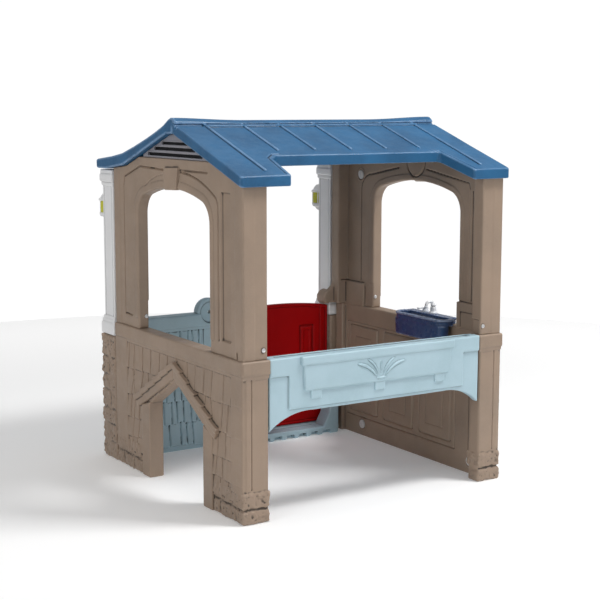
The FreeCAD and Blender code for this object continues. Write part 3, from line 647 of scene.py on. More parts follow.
# --------------------------------------------------------------------------------------
# porch side
# --------------------------------------------------------------------------------------
def porch_half_wall():
    xs = axis_grid(84, 868, 2.7)
    ys = axis_grid(784, 912, 1.8, fine=[(784, 814), (850, 866), (892, 912)], coarse=4.0)
    zs = axis_grid(-3, 538, 2.9)
    b = Block(xs, ys, zs)
    X, Y, Z = b.G
    x2, z2 = X[:, 0, :], Z[:, 0, :]
    rng = np.random.RandomState(3)

    def rows(seed):
        rng = np.random.RandomState(seed)
        out = []
        for zb, zt in ((18, 100), (100, 182), (182, 262), (262, 344), (344, 428)):
            j, x = [], 96 + rng.uniform(10, 40)
            while x < 398:
                j.append(round(x, 1))
                x += rng.uniform(20, 44)
            out.append((zb, zt, j, 0.05))
        return out

    Hi, Ho = shakes(x2, z2, rows(31), 32, 5.0), shakes(x2, z2, rows(61), 62, 5.0)
    # plain stile beside the doorway
    w = sstep(330, 333, x2)
    Hi = Hi * (1 - w) + 1.8 * w + groove(np.abs(x2 - 331.5), 3.2, 3.2)
    Ho = Ho * (1 - w) + 1.8 * w + groove(np.abs(x2 - 331.5), 3.2, 3.2)
    out2 = rbox2(x2, z2, 88, 0, 410, 481, 8)
    b.F[:] = rmax(rmax(858 - Y - Hi[:, None, :], Y - 900 - Ho[:, None, :], 3), out2[:, None, :], 5)
    for z0, z1, p, r in ((437, 481, 8, 5.5), (427, 440, 5, 3.5)):
        b.box((92, 858 - p, z0), (410, 900 + p, z1), r, 1.5)
    # round ear with a rim and a small peep hole
    b.add((300, 850, 425), (412, 894, 536), lambda g: cyl3(g, "Y", (358, 484), 49, 857, 889, 5), 2)
    for s0, s1 in ((850, 864), (882, 894)):
        b.cut((310, s0, 440), (406, s1, 530), lambda g, s0=s0: rmax(np.sqrt((g[0] - 358) ** 2 + (g[2] - 484) ** 2) - 38,
              (g[1] - 860.5) if s0 == 850 else (885.5 - g[1]), 2.5), 1.5)
    b.cut((340, 840, 470), (376, 912, 500), lambda g: np.sqrt((g[0] - 358) ** 2 + (g[2] - 484) ** 2) - 6.5, 2)
    # sill with drain notches, and the curved foot at the hinge side
    b.box((405, 791, 0), (863, 899, 31), 6, 3)
    gus = [(789, 18), (820, 75)] + arc3((820, 75), (827, 104), (835, 130), 6) + [(862.5, 148), (862.5, 18)]
    b.add((784, 788, 15), (866, 862, 152), lambda g: rmax(span(g[1], 790.5, 852.5), poly2(g[0], g[2], gus), 5), 3)
    for i in range(8):
        x0 = 428 + 52 * i
        b.cut((x0 - 2, 780, -4), (x0 + 36, 814, 18), lambda g, x0=x0: rmax(rbox2(g[0], g[2], x0, -14, x0 + 33, 14.5, 5), span(g[1], 770, 812), 1.5), 1.2)
    # long tread grooves on the sill
    for y in (815, 828, 841):
        b.cut((420, y - 4, 26), (780, y + 4, 34), lambda g, y=y: rmax(rmax(np.abs(g[1] - y) - 2.0, span(g[0], 424, 776), 1.5), 29 - g[2], 0), 1.2)
    b.cut((832, 868, 8), (852, 888, 34), lambda g: cyl3(g, "Z", (842, 878), 5.6, 12, 60, 0.2))
    v, q = nets(b.F, *b.ax)
    v[:, 2] = np.maximum(v[:, 2], 0)
    return make_piece("porch_half_wall_shell", "porch_half_wall", v, q, "light_blue")


def pillar(right):
    tag = "right" if right else "left"
    xs, ys, zs = axis_grid(-14, 88, 2.7), axis_grid(852, 978, 2.7), axis_grid(-3, 434, 2.7)
    b = Block(xs, ys, zs)
    b.box((-4, 860, 0), (80, 962, 428), 5)
    seed = 300 if right else 200
    rows = ((0, 57), (60.5, 119), (122.5, 173), (176.5, 237), (240.5, 289), (292.5, 351), (354.5, 429))
    for i, (z0, z1) in enumerate(rows):
        rng = np.random.RandomState(seed + i)
        o = rng.uniform(-1.5, 1.0)
        if i % 2:
            c = 905 + rng.uniform(-8, 8)
            cells = [((-8 + o, 859, z0), (50, c - 2, z1)), ((-8 - o, c + 2, z0), (46, 970, z1)), ((26, 859, z0), (82, 970 - 2, z1))]
        else:
            c = 44 + rng.uniform(-8, 8)
            cells = [((-8 + o, 859, z0), (c - 2, 970, z1)), ((c + 2, 859, z0), (82, 969 + o, z1))]
        for n, (lo, hi) in enumerate(cells):
            b.stone(lo, hi, seed + 31 * i + 7 * n, r=6, amp=2.2)
    v, q = nets(b.F, *b.ax)
    v[:, 2] = np.clip(v[:, 2], 0, 430.5)
    return make_piece(tag + "_stone_pillar_shell", tag + "_stone_pillar", v, q, "tan", mirror=right)


def column(right):
    tag = "right" if right else "left"
    xs, ys = axis_grid(-13, 88, 2.2), axis_grid(858, 970, 2.2)
    zs = axis_grid(427, 994, 2.2, fine=[(427, 520), (925, 994)], coarse=9)
    b = Block(xs, ys, zs)
    X, Y, Z = b.G
    shaft = rmax(span(X, 0, 78), span(Y, 870, 950), 5)
    flute = np.minimum(np.minimum(np.abs(X - 12), np.abs(X - 66)), 99) + 0 * Y
    face = (Y > 930) | (Y < 890)
    shaft = shaft + np.where(face, -groove(flute, 3.4, 2.2), 0)
    flute = np.minimum(np.abs(Y - 882), np.abs(Y - 938)) + 0 * X
    shaft = shaft + np.where((X < 20) | (X > 58), -groove(flute, 3.4, 2.2), 0)
    b.F[:] = rmax(shaft, span(Z, 431, 990), 2)
    for lo, hi, r, f in (
        ((-8, 863, 431), (84, 965, 472), 5, 2), ((-5, 866, 466), (81, 961, 484), 4, 1.5), ((-3, 867, 480), (80, 955, 494), 3.5, 1.5),
        ((-3, 867, 936), (81, 954, 950), 4, 2), ((-8, 863, 949), (84, 959, 976), 5, 1.5), ((-5, 866, 972), (81, 956, 990), 3, 1.0),
    ):
        b.box(lo, hi, r, f)
    return from_block(tag + "_column_shell", tag + "_column", b, "white", mirror=right)


def lantern(right):
    tag = "right" if right else "left"
    cx = 40
    xs, ys, zs = axis_grid(8, 72, 1.25), axis_grid(948, 1034, 1.25), axis_grid(802, 914, 1.25)
    b = Block(xs, ys, zs)
    X, Y, Z = b.G
    R = np.sqrt((X - cx) ** 2 + (Y - 1003) ** 2)
    b.F[:] = rmax(rbox2(X, Z, cx - 17, 806, cx + 17, 912, 8), span(Y, 950, 958), 2.5)
    b.F[:] = rmin(b.F, rmax(rbox2(X, Z, cx - 12, 812, cx + 12, 906, 6), span(Y, 950, 960.5), 2), 1)
    for z0, z1 in ((893, 907), (819, 832)):
        b.F[:] = rmin(b.F, rmax(rbox2(X, Z, cx - 6.5, z0, cx + 6.5, z1, 3), span(Y, 955, 1003), 1), 3)
    # hood with a flared brim, a base cup and a drop finial; turned round the lamp's axis
    prof = [(0, 908), (9, 907), (14, 902), (19, 896), (21, 890), (27.5, 885.5), (28, 881), (24, 880), (0, 880)]
    b.F[:] = rmin(b.F, poly2(R, Z, prof) - 0.8, 1)
    prof = [(0, 838), (25.2, 838), (26, 834), (23, 827), (14, 824), (11, 818), (6, 813), (0, 811.5)]
    b.F[:] = rmin(b.F, poly2(R, Z, prof) - 0.6, 1)
    # four slim bars in front of the glass
    for k in range(4):
        a = math.pi / 4 + k * math.pi / 2
        px, py = cx + 24.2 * math.cos(a), 1003 + 24.2 * math.sin(a)
        b.F[:] = rmin(b.F, rmax(np.sqrt((X - px) ** 2 + (Y - py) ** 2) - 1.9, span(Z, 832, 886), 0), 1.5)
    from_block(tag + "_lantern_bracket_shell", tag + "_lantern_bracket", b, "white", mirror=right)
    xs, ys, zs = axis_grid(14, 66, 1.25), axis_grid(977, 1029, 1.25), axis_grid(835, 883, 1.25)
    g = Block(xs, ys, zs)
    X, Y, Z = g.G
    a = np.arctan2(Y - 1003, X - cx)
    R = np.sqrt((X - cx) ** 2 + (Y - 1003) ** 2)
    g.F[:] = rmax(R - 20.5 - 1.1 * np.cos(16 * a) - 1.3 * np.cos((Z - 859) / 21 * math.pi * 0.5), span(Z, 838.4, 879.8), 1.5)
    from_block(tag + "_lantern_glass_lens", tag + "_lantern_glass", g, "lantern_yellow", mirror=right)


# --------------------------------------------------------------------------------------
# serving counter
# --------------------------------------------------------------------------------------
def counter():
    xs = axis_grid(82, 868, 2.6)
    ys = axis_grid(-10, 50, 1.7, fine=[(-10, 12), (20, 30), (40, 50)], coarse=3.2)
    zs = axis_grid(260, 485, 2.3)
    b = Block(xs, ys, zs)
    X, Y, Z = b.G
    x2, z2 = X[:, 0, :], Z[:, 0, :]
    out = [(86, 481), (86, 265)] + arc3((86, 265), (144, 300), (240, 315)) + [(724, 315)] + arc3((724, 315), (812, 300), (864, 265)) + [(864, 481)]
    d = poly2(x2, z2, out)
    # the raised field is as wide as the counter at the top and narrower below
    tee = round_poly([(70, 500), (70, 426), (150, 426), (150, 325), (800, 325), (800, 432), (886, 432), (886, 500)], 2.5)
    H = ledge(poly2(x2, z2, tee), 2.0, 5.6) - 0.8
    b.F[:] = rmax(rmax(-Y - H[:, None, :], Y - 26, 3), d[:, None, :], 4)
    b.box((86, 6, 455), (864, 45, 481), 5, 4)
    # shallow tray in the top, open to neither side
    b.cut((108, 6, 470), (842, 44, 490), lambda g: rmax(rbox2(g[0], g[1], 112, 8, 838, 39, 7), 476.6 - g[2], 1.0), 1.2)
    # ribs behind the apron
    for x in (212, 343, 473, 603, 734):
        b.add((x - 5, 22, 330), (x + 5, 44, 470), lambda g, x=x: rmax(rmax(np.abs(g[0] - x) - 3.5, g[1] - 26 - (g[2] - 330) * 0.115, 1.5), span(g[2], 330, 470), 2), 3)
    return from_block("counter_shell", "counter", b, "light_blue")


def blade(U, V, pts, w):
    """A leaf stroke: distance to a curve, less a width that runs out at both ends."""
    U, V = np.broadcast_arrays(U, V)
    best = np.full(U.shape, 1e3, F32)
    n = len(pts) - 1
    for i in range(n):
        (ax, ay), (bx, by) = pts[i], pts[i + 1]
        ex, ey = bx - ax, by - ay
        t = np.clip(((U - ax) * ex + (V - ay) * ey) / (ex * ex + ey * ey), 0, 1)
        s = (i + t) / n
        ww = w * np.sqrt(np.clip(4 * s * (1 - s), 0, 1)) * (0.75 + 0.5 * s)
        best = np.minimum(best, np.sqrt((U - ax - ex * t) ** 2 + (V - ay - ey * t) ** 2) - ww)
    return best


def bez(p0, p1, p2, n=14):
    return [tuple((1 - t) ** 2 * np.array(p0) + 2 * t * (1 - t) * np.array(p1) + t * t * np.array(p2)) for t in np.linspace(0, 1, n + 1)]


def counter_tray():
    xs = axis_grid(184, 760, 2.0)
    ys = axis_grid(-20, 4, 1.5)
    zs = axis_grid(348, 485, 2.0)
    b = Block(xs, ys, zs)
    X, Y, Z = b.G
    x2, z2 = X[:, 0, :], Z[:, 0, :]
    c = 473.0
    H = np.zeros(np.broadcast_shapes(x2.shape, z2.shape), F32)
    # a plain fan of curved strokes
    for pts, w in (
        (bez((459, 394), (432, 432), (388, 438.5)), 4.4), (bez((489, 393), (516, 430), (562, 433.5)), 4.4),
        (bez((466, 398), (452, 438), (424, 449)), 3.2), (bez((481, 398), (496, 436), (524, 446)), 3.2),
        (bez((473.5, 404), (474, 420), (474, 438)), 2.8),
    ):
        d = blade(x2, z2, pts, w)
        H = H + groove(np.abs(d - 1.2), 2.3, 1.5) + ledge(d, 2.2, 3.2)
    d = blade(x2, z2, [(455, 391), (473, 387.5), (492, 391)], 3.4)
    H = H + groove(np.abs(d - 1.2), 2.2, 1.2) + ledge(d, 2.2, 2.4)
    body = round_poly([(196, 470), (201, 376), (738, 376), (750, 470)], 6)
    b.F[:] = rmax(rmax(-12 - H[:, None, :] - Y, Y, 1.5), poly2(x2, z2, body)[:, None, :], 5)
    # rolled lip along the top
    b.box((189, -16, 453), (756.5, 0, 481), 5.5, 1.5)
    # three flat hooks under it
    for x0 in (224, 454, 682):
        b.add((x0, -9, 348), (x0 + 38, 0, 384), lambda g, x0=x0: rmax(rbox2(g[0], g[2], x0, 350, x0 + 38, 392, 4), span(g[1], -9.0, 0), 2.0), 0.5)
    v, q = nets(b.F, *b.ax)
    v[:, 1] = np.minimum(v[:, 1], -0.0 + 0.0 * v[:, 1])
    return make_piece("counter_tray_shell", "counter_tray", v, q, "light_blue")


# --------------------------------------------------------------------------------------
# half door
# --------------------------------------------------------------------------------------
def half_door():
    xs = axis_grid(410, 864, 2.4)
    ys = axis_grid(861, 895, 1.5)
    zs = axis_grid(30, 491, 2.4)
    b = Block(xs, ys, zs)
    X, Y, Z = b.G
    x2, z2 = X[:, 0, :], Z[:, 0, :]
    out = [(414, 34), (860, 34), (860, 471)] + arc3((860, 471), (637, 487), (414, 471), 24)
    d = poly2(x2, z2, out)
    H = np.zeros(d.shape, F32)
    for x0, x1 in ((469, 533), (735, 800)):
        r = rbox2(x2, z2, x0, 90, x1, 404, 7)
        H += ledge(r, 2.6, -4.6) + ledge(r + 10, 2.6, 3.4) - ledge(r + 19, 2.6, 2.0)
    H += groove(np.abs(d + 12), 2.8, 1.8)
    H += groove(np.abs(x2 - 826) + 0 * z2, 3.0, 4.0)
    b.F[:] = rmax(rmax(865 - Y - H[:, None, :], Y - 891 - H[:, None, :], 4), d[:, None, :], 5)
    for y0, y1 in ((859.5, 868), (888, 896.5)):
        pass
    # barrel of the hinge
    b.cut((832, 868, 30), (852, 888, 66), lambda g: cyl3(g, "Z", (842, 878), 5.35, 20, 64, 0.2))
    b.cut((832, 868, 438), (852, 888, 492), lambda g: cyl3(g, "Z", (842, 878), 5.35, 440, 520, 0.2))
    return from_block("half_door_shell", "half_door", b, "red", body="door")


def hinge_pins():
    vs, qs, n = [], [], 0
    for z0, z1 in ((16, 64), (440, 494)):
        xs, ys = axis_grid(835, 849, 0.7), axis_grid(871, 885, 0.7)
        zs = axis_grid(z0 - 1, z1 + 1, 0.7, fine=[(z0 - 1, z0 + 3), (z1 - 3, z1 + 1)], coarse=3)
        G = grid(xs, ys, zs)
        R = np.sqrt((G[0] - 842) ** 2 + (G[1] - 878) ** 2)
        F = rmax(R - 4.95, span(G[2], z0, z1), 1.4) + 0 * G[2]
        ring = np.abs(G[2] - (z0 + z1) / 2) - 1.2
        F = np.maximum(F, -np.maximum(ring, 4.3 - R))
        v, q = nets(F, xs, ys, zs)
        vs.append(v)
        qs.append(q + n)
        n += len(v)
    make_piece("door_hinge_pins_steel", "door_hinge_pins", np.concatenate(vs), np.concatenate(qs), "steel", body="door")


# --------------------------------------------------------------------------------------
# roof
# --------------------------------------------------------------------------------------
SEAMS = (84, 215, 346, 477, 608, 739, 870)
ROOF_X = [(-20, -4)] + [(s - 8, s + 8) for s in SEAMS] + [(950, 966)]


def roof_wave(X, Y, seed):
    return (noise2(X, Y, 160, seed) * 0.7 + noise2(X, Y, 55, seed + 1) * 0.25).astype(F32)


def roof_front():
    xs = axis_grid(-20, 966, 1.9, fine=ROOF_X + [(128, 204), (782, 838)], coarse=6.5)
    ys = axis_grid(-21, 403, 2.3, fine=[(-21, 26), (112, 168), (356, 403)], coarse=5.5)
    hs = axis_grid(-36, 9, 1.5, fine=[(-8, 9), (-36, -28)], coarse=3.4)
    b = Block(xs, ys, hs)
    X, Y, Hh = b.G
    x2, y2 = X[:, :, 0], Y[:, :, 0]
    cut = round_poly([(151, -60), (151, -17), (163, 108), (186, 127), (792, 127), (819, -17), (824, -60)], 14)
    d = rmax(rbox2(x2, y2, -16, -17, 962, 400, 9), -poly2(x2, y2, cut), 7)
    wave = roof_wave(x2, y2, 11)
    lip = line2(x2, y2, round_poly([(139, -8), (151, 114), (178, 139), (206, 139), (206, 139.5), (178, 139.5), (150.5, 114.5), (138.5, -8)], 0.1))
    wave = wave + groove(lip, 3.6, 3.6)
    wave = wave + groove(line2(x2, y2, [(832, -8), (803, 136), (795, 139), (770, 139)]), 3.6, 3.4)
    wave = wave - 7.0 * sstep(368, 373, y2) * (1 - sstep(379, 382, y2))
    # the top sheet stands a little proud of the fascia
    b.F[:] = rmax(rmax(Hh - wave[:, :, None], -33 - Hh, 4), d[:, :, None], 4.5)
    for s in SEAMS:
        y0 = 14 if s in (84, 870) else 159
        b.add((s - 7, y0 - 6, -8), (s + 7, 378, 7), lambda g, s=s, y0=y0: rmax(rmax(rbox2(g[0], g[1], s - 4.6, y0, s + 4.6, 390, 4.4), g[2] - 5.2, 2.6), -g[2] - 8, 0), 1.2)
    # the sheet's turned-up edge under the ridge
    b.add((60, 352, -8), (900, 376, 8), lambda g: rmax(rmax(rbox2(g[0], g[1], 82, 358, 880, 369, 4), g[2] - 5.8, 2.0), -g[2] - 8, 0), 0.8)
    v, q = nets(b.F, *b.ax)
    v[:, 2] += top(v[:, 1])
    return make_piece("roof_front_shell", "roof_front", v, q, "roof_blue")


BACK_TOP = [(378, 1144), (453, 1146), (583, 1101), (762, 1050), (848, 1037), (954, 1025), (964, 1022)]


def roof_back():
    xs = axis_grid(-20, 966, 1.9, fine=ROOF_X, coarse=6.5)
    ys = axis_grid(374, 968, 2.6, fine=[(374, 470), (900, 968)], coarse=4.4)
    zs = axis_grid(982, 1171, 2.5)
    b = Block(xs, ys, zs)
    X, Y, Z = b.G
    y2, z2 = Y[0], Z[0]
    prof = [(400, under(400)), (444, 1117), (600, 1064), (756, 1011), (890, 994), (962, 994), (964, 1022), (954, 1025),
            (848, 1037), (762, 1050), (672, 1074), (583, 1101), (520, 1122), (462, 1143), (445, 1152), (430, 1160), (414, 1166.5), (396, 1166), (381, 1156), (378, top(378)), (400, top(400))]
    d = poly2(y2, z2, round_poly(prof, 7, 3))
    wave = roof_wave(X[:, :, 0], Y[:, :, 0], 21)
    b.F[:] = rmax(d[None] - wave[:, :, None] * 0.8 * ((Y > 470) & (Y < 940)), span(X, -16, 962), 5.5)
    tops = [(470, 1140.4), (486, 1134.6), (583, 1101), (672, 1074.3), (762, 1050), (848, 1037), (925, 1028.3)]
    for s in SEAMS:
        def f(g, s=s):
            line = line2(g[1][0], g[2][0], tops)[None]
            return rmax(rmax(np.abs(g[0] - s) - 4.6, line - 5.4, 2.6), 0 * g[0] - 9, 0)
        b.add((s - 7, 466, 1016), (s + 7, 934, 1150), f, 1.2)
    # back eave groove
    b.cut((-10, 936, 1018), (956, 944, 1036), lambda g: rmax(rmax(np.abs(g[1] - 940) - 1.6, 1024 - g[2], 0), span(g[0], 4, 942), 1), 1.5)
    v, q = nets(b.F, *b.ax)
    # the ridge cap dips slightly between its ends
    f = 1 - sstep(0.45, 1.0, np.abs(v[:, 0] - 473) / 489) ** 1.2
    v[:, 2] -= 8.0 * f * sstep(1146, 1162, v[:, 2])
    return make_piece("roof_back_shell", "roof_back", v, q, "roof_blue")


def vent(right):
    tag = "right" if right else "left"
    xs = axis_grid(-1, 22, 1.3)
    ys = axis_grid(200, 645, 2.4)
    zs = axis_grid(1036, 1122, 1.6)
    b = Block(xs, ys, zs)
    X, Y, Z = b.G
    y2, z2 = Y[0], Z[0]
    out = [(205, 1041), (640, 1041), (640, 1050.2), (444, 1116.8), (400, 1118.3), (205, under(205) - 0.3)]
    d = poly2(y2, z2, out)
    H = np.zeros(d.shape, F32)
    slots = ((1048, 1058, 240, 606), (1066, 1076, 284, 560), (1084, 1093, 334, 508))
    for z0, z1, a, c in slots:
        s = rbox2(y2, z2, a, z0, c, z1, 3.5)
        H += ledge(s - 5, 4, 1.6)
    b.F[:] = rmax(rmax(rmax(3.6 - H[None] - X, X - 16.5, 2), d[None], 1), 1042 - Z, 0)
    for z0, z1, a, c in slots:
        b.cut((-2, a, z0 - 2), (24, c, z1 + 2), lambda g, z0=z0, z1=z1, a=a, c=c: rmax(rbox2(g[1], g[2], a, z0, c, z1, 3.5), span(g[0], -5, 13.5), 0), 1.2)
    # near-black sheet inside the slots: painted shade where the slots look into the dark roof space
    xm = axis_grid(8, 16, 1.3)
    m = Block(xm, axis_grid(225, 618, 3.2), axis_grid(1042, 1098, 1.6))
    X, Y, Z = m.G
    m.F[:] = rmax(rmax(span(X, 10.2, 14.2), poly2(Y, Z, [(232, 1045), (612, 1045), (612, 1060), (516, 1096), (328, 1096), (234, 1060)]), 0), 0 * X - 9, 0)
    from_block(tag + "_gable_vent_slot_shade", tag + "_gable_vent", m, "vent_slot_shade", mirror=right)
    return from_block(tag + "_gable_vent_shell", tag + "_gable_vent", b, "vent_grey", mirror=right)


# --------------------------------------------------------------------------------------
# sink, tap and spout
# --------------------------------------------------------------------------------------
def sink():
    xs, ys, zs = axis_grid(842, 944, 1.9), axis_grid(171, 453, 1.9), axis_grid(422, 509, 1.9)
    b = Block(xs, ys, zs)
    X, Y, Z = b.G
    x2, y2 = X[:, :, 0], Y[:, :, 0]
    out = [(906, 175), (906, 203), (940, 203), (940, 443), (906, 443), (906, 449), (886, 449)] + arc3((886, 449), (857.7, 437.3), (846, 409), 7) + [(846, 215)] + arc3((846, 215), (857.7, 186.7), (886, 175), 7)
    d = poly2(x2, y2, out)
    b.F[:] = rmax(d[:, :, None] + 3.0, span(Z, 481.3, 505), 4.0)
    # rolled outer rim stands proud of the wall of the rim
    b.F[:] = rmin(b.F, rmax(rmax(d[:, :, None], -(d[:, :, None] + 9), 0), span(Z, 497, 505), 3.2), 1)
    body = round_poly([(851, 178.5), (896, 178.5), (896, 445.5), (851, 445.5)], 22)
    db = poly2(x2, y2, body)
    b.F[:] = rmin(b.F, rmax(db[:, :, None] + np.clip((481 - Z) * 0.05, 0, 4), span(Z, 426, 486), 6), 3)
    top_in = round_poly([(858, 189), (908, 189), (908, 435), (858, 435)], 24)
    b.F[:] = rmax(b.F, -rmax(poly2(x2, y2, top_in)[:, :, None], 494 - Z, 2), 2)
    well = round_poly([(866, 212), (890, 212), (890, 423), (866, 423)], 11)
    dw = poly2(x2, y2, well)[:, :, None] + np.clip((487 - Z) * 0.06, 0, 4)
    b.F[:] = rmax(b.F, -rmax(dw, 441 - Z, 5), 3)
    # drain: a ring of small holes in a shallow dish
    R = np.sqrt((X - 878) ** 2 + (Y - 312) ** 2)
    b.F[:] = rmax(b.F, -rmax(R - 9, 439.2 - Z, 1), 1)
    for k in range(6):
        a = k * math.pi / 3
        rr = np.sqrt((X - 878 - 5.4 * math.cos(a)) ** 2 + (Y - 312 - 5.4 * math.sin(a)) ** 2)
        b.F[:] = rmax(b.F, -rmax(rr - 1.5, 436 - Z, 0), 0.4)
    return from_block("sink_basin_shell", "sink_basin", b, "navy")


def revolved(name, node, cx, cy, prof, z0, z1, r, mat, body="house", extra=None, step=0.9):
    xs, ys, zs = axis_grid(cx - r - 2, cx + r + 2, step), axis_grid(cy - r - 2, cy + r + 2, step), axis_grid(z0 - 2, z1 + 2, step)
    b = Block(xs, ys, zs)
    X, Y, Z = b.G
    R = np.sqrt((X - cx) ** 2 + (Y - cy) ** 2)
    b.F[:] = poly2(R + 0 * Z, Z + 0 * R, prof)
    if extra:
        extra(b)
    return from_block(name, node, b, mat, body=body)


def taps():
    FX, FY, TY = 924, 312, 354
    base = [(0, 505), (15, 505), (15.2, 508), (14.2, 511), (12.2, 512.5), (11.6, 517), (11.2, 525), (10.2, 528.4), (5.3, 529), (5.3, 518), (0, 518)]
    revolved("faucet_base_shell", "faucet_base", FX, FY, base, 505, 529, 15.5, "light_grey")

    # spout: a bent tube that tapers to its mouth
    xs, ys, zs = axis_grid(874, 940, 1.0), axis_grid(298, 326, 1.0), axis_grid(514, 564, 1.0)
    b = Block(xs, ys, zs)
    X, Y, Z = b.G
    path = [(924, 519), (924, 534)] + arc3((924, 534), (920.485, 542.485), (912, 546), 8) + [(903, 546)] + arc3((903, 546), (895.929, 543.071), (893, 536), 8) + [(893, 528)]
    d2 = line2(X[:, 0, :], Z[:, 0, :], path)[:, None, :]
    tube = np.sqrt(d2 ** 2 + (Y - FY) ** 2) - 4.95
    R = np.sqrt((X - FX) ** 2 + (Y - FY) ** 2)
    b.F[:] = rmax(tube, 517 - Z, 0.6)
    b.F[:] = rmin(b.F, rmax(R - 9.8, span(Z, 529.7, 538.5), 2.4), 1.5)
    Rm = np.sqrt((X - 893) ** 2 + (Y - FY) ** 2)
    b.F[:] = rmin(b.F, rmax(Rm - 6.2, span(Z, 527.2, 533), 1.4), 1.0)
    b.F[:] = rmax(b.F, -rmax(Rm - 3.4, Z - 533, 0.5), 0.6)
    b.F[:] = rmax(b.F, np.where(X < 903, 526.9 - Z, -50), 0.3)
    from_block("faucet_spout_shell", "faucet_spout", b, "light_grey", body="spout")

    boss = [(0, 505), (12, 505), (12, 511), (10.8, 514.4), (9.2, 515), (4.3, 515), (4.3, 508), (0, 508)]
    revolved("tap_boss_shell", "tap_boss", FX, TY, boss, 505, 515, 12.5, "light_grey")

    xs, ys, zs = axis_grid(884, 937, 0.9), axis_grid(341, 367, 0.9), axis_grid(505, 528, 0.9)
    b = Block(xs, ys, zs)
    X, Y, Z = b.G
    R = np.sqrt((X - FX) ** 2 + (Y - TY) ** 2)
    b.F[:] = poly2(R + 0 * Z, Z + 0 * R, [(0, 508.3), (3.9, 508.3), (3.9, 515.4), (9.6, 515.6), (10, 519), (8.6, 523.4), (4, 525), (0, 525)])
    arm = rmax(rmax(rmax(X - FX, 888.5 - X, 3), np.abs(Y - TY) - (3.2 + 1.4 * sstep(912, 890, X)), 2.5), span(Z, 518 - 0.02 * (FX - X), 523.8 - 0.02 * (FX - X)), 1.8)
    b.F[:] = rmin(b.F, arm, 2)
    from_block("tap_lever_shell", "tap_lever", b, "light_grey", body="lever")


# --------------------------------------------------------------------------------------
# plugs and screws: one small field, placed several times
# --------------------------------------------------------------------------------------
def placed(name, node, F, ax, spots, mat):
    """Copies of a small part whose own Z is its outward axis."""
    v0, q0 = nets(F, *ax)
    vs, qs, n = [], [], 0
    for p, axis, turn in spots:
        a = np.array(axis, float)
        u = np.cross([0, 0, 1.0], a)
        u /= np.linalg.norm(u)
        w = np.cross(a, u)
        c, s = math.cos(turn), math.sin(turn)
        u, w = c * u + s * w, -s * u + c * w
        vs.append(v0[:, :1] * u + v0[:, 1:2] * w + v0[:, 2:] * a + np.array(p, float))
        qs.append(q0 + n)
        n += len(v0)
    return make_piece(name, node, np.concatenate(vs), np.concatenate(qs), mat)


def fasteners():
    ax = (axis_grid(-18, 18, 0.8), axis_grid(-18, 18, 0.8), axis_grid(-1, 6, 0.6))
    X, Y, Z = grid(*ax)
    R = np.sqrt(X * X + Y * Y)
    dome = 3.4 + 1.0 * np.cos(np.clip(R / 16, 0, 1) * 1.3)
    F = rmax(rmax(R - 15.8, Z - dome + groove(np.abs(R - 11.5), 1.8, 1.1) * -1, 0.9), -Z, 0)
    F = np.maximum(F, -rmax(rmax(np.abs(Y) - 1.3, np.abs(X) - 7.5, 0.6), 3.1 - Z, 0.3))
    spots = []
    for right in (False, True):
        s, x0 = (-1, WIDTH) if right else (1, 0)
        for y, z, t in ((84, 44, 46), (699, 44, 46), (731, 957, 37)):
            spots.append(((x0 + s * (t - 2), y, z), (s, 0, 0), 0.4 + y * 0.01))
    placed("wall_plugs_caps", "wall_plugs", F, ax, spots, "plug_grey")
    ax = (axis_grid(-7.5, 7.5, 0.45), axis_grid(-7.5, 7.5, 0.45), axis_grid(-22.5, 4.5, 0.45, fine=[(-1, 4.5), (-22.5, -20)], coarse=1.2))
    X, Y, Z = grid(*ax)
    R = np.sqrt(X * X + Y * Y)
    head = rmax(rmax(R - 6.4, Z - 3.7 + (R / 6.4) ** 2 * 1.6, 0.7), -Z, 0)
    F = rmin(head, rmax(R - 2.2, span(Z, -22, 0.5), 0.5), 0)
    cross = np.minimum(rmax(np.abs(X) - 0.8, np.abs(Y) - 3.4, 0.3), rmax(np.abs(Y) - 0.8, np.abs(X) - 3.4, 0.3))
    F = np.maximum(F, -rmax(cross, 1.6 - Z, 0.2))
    placed("post_screws_heads", "post_screws", F, ax, [((66, 0, 509), (0, -1, 0), 0.5), ((WIDTH - 71, 0, 509), (0, -1, 0), 1.1)], "steel")
    placed("window_post_screws_heads", "window_post_screws", F, ax, [((26, 679, 521), (0, -1, 0), 0.2), ((WIDTH - 26, 652, 521), (0, -1, 0), 0.8)], "steel")


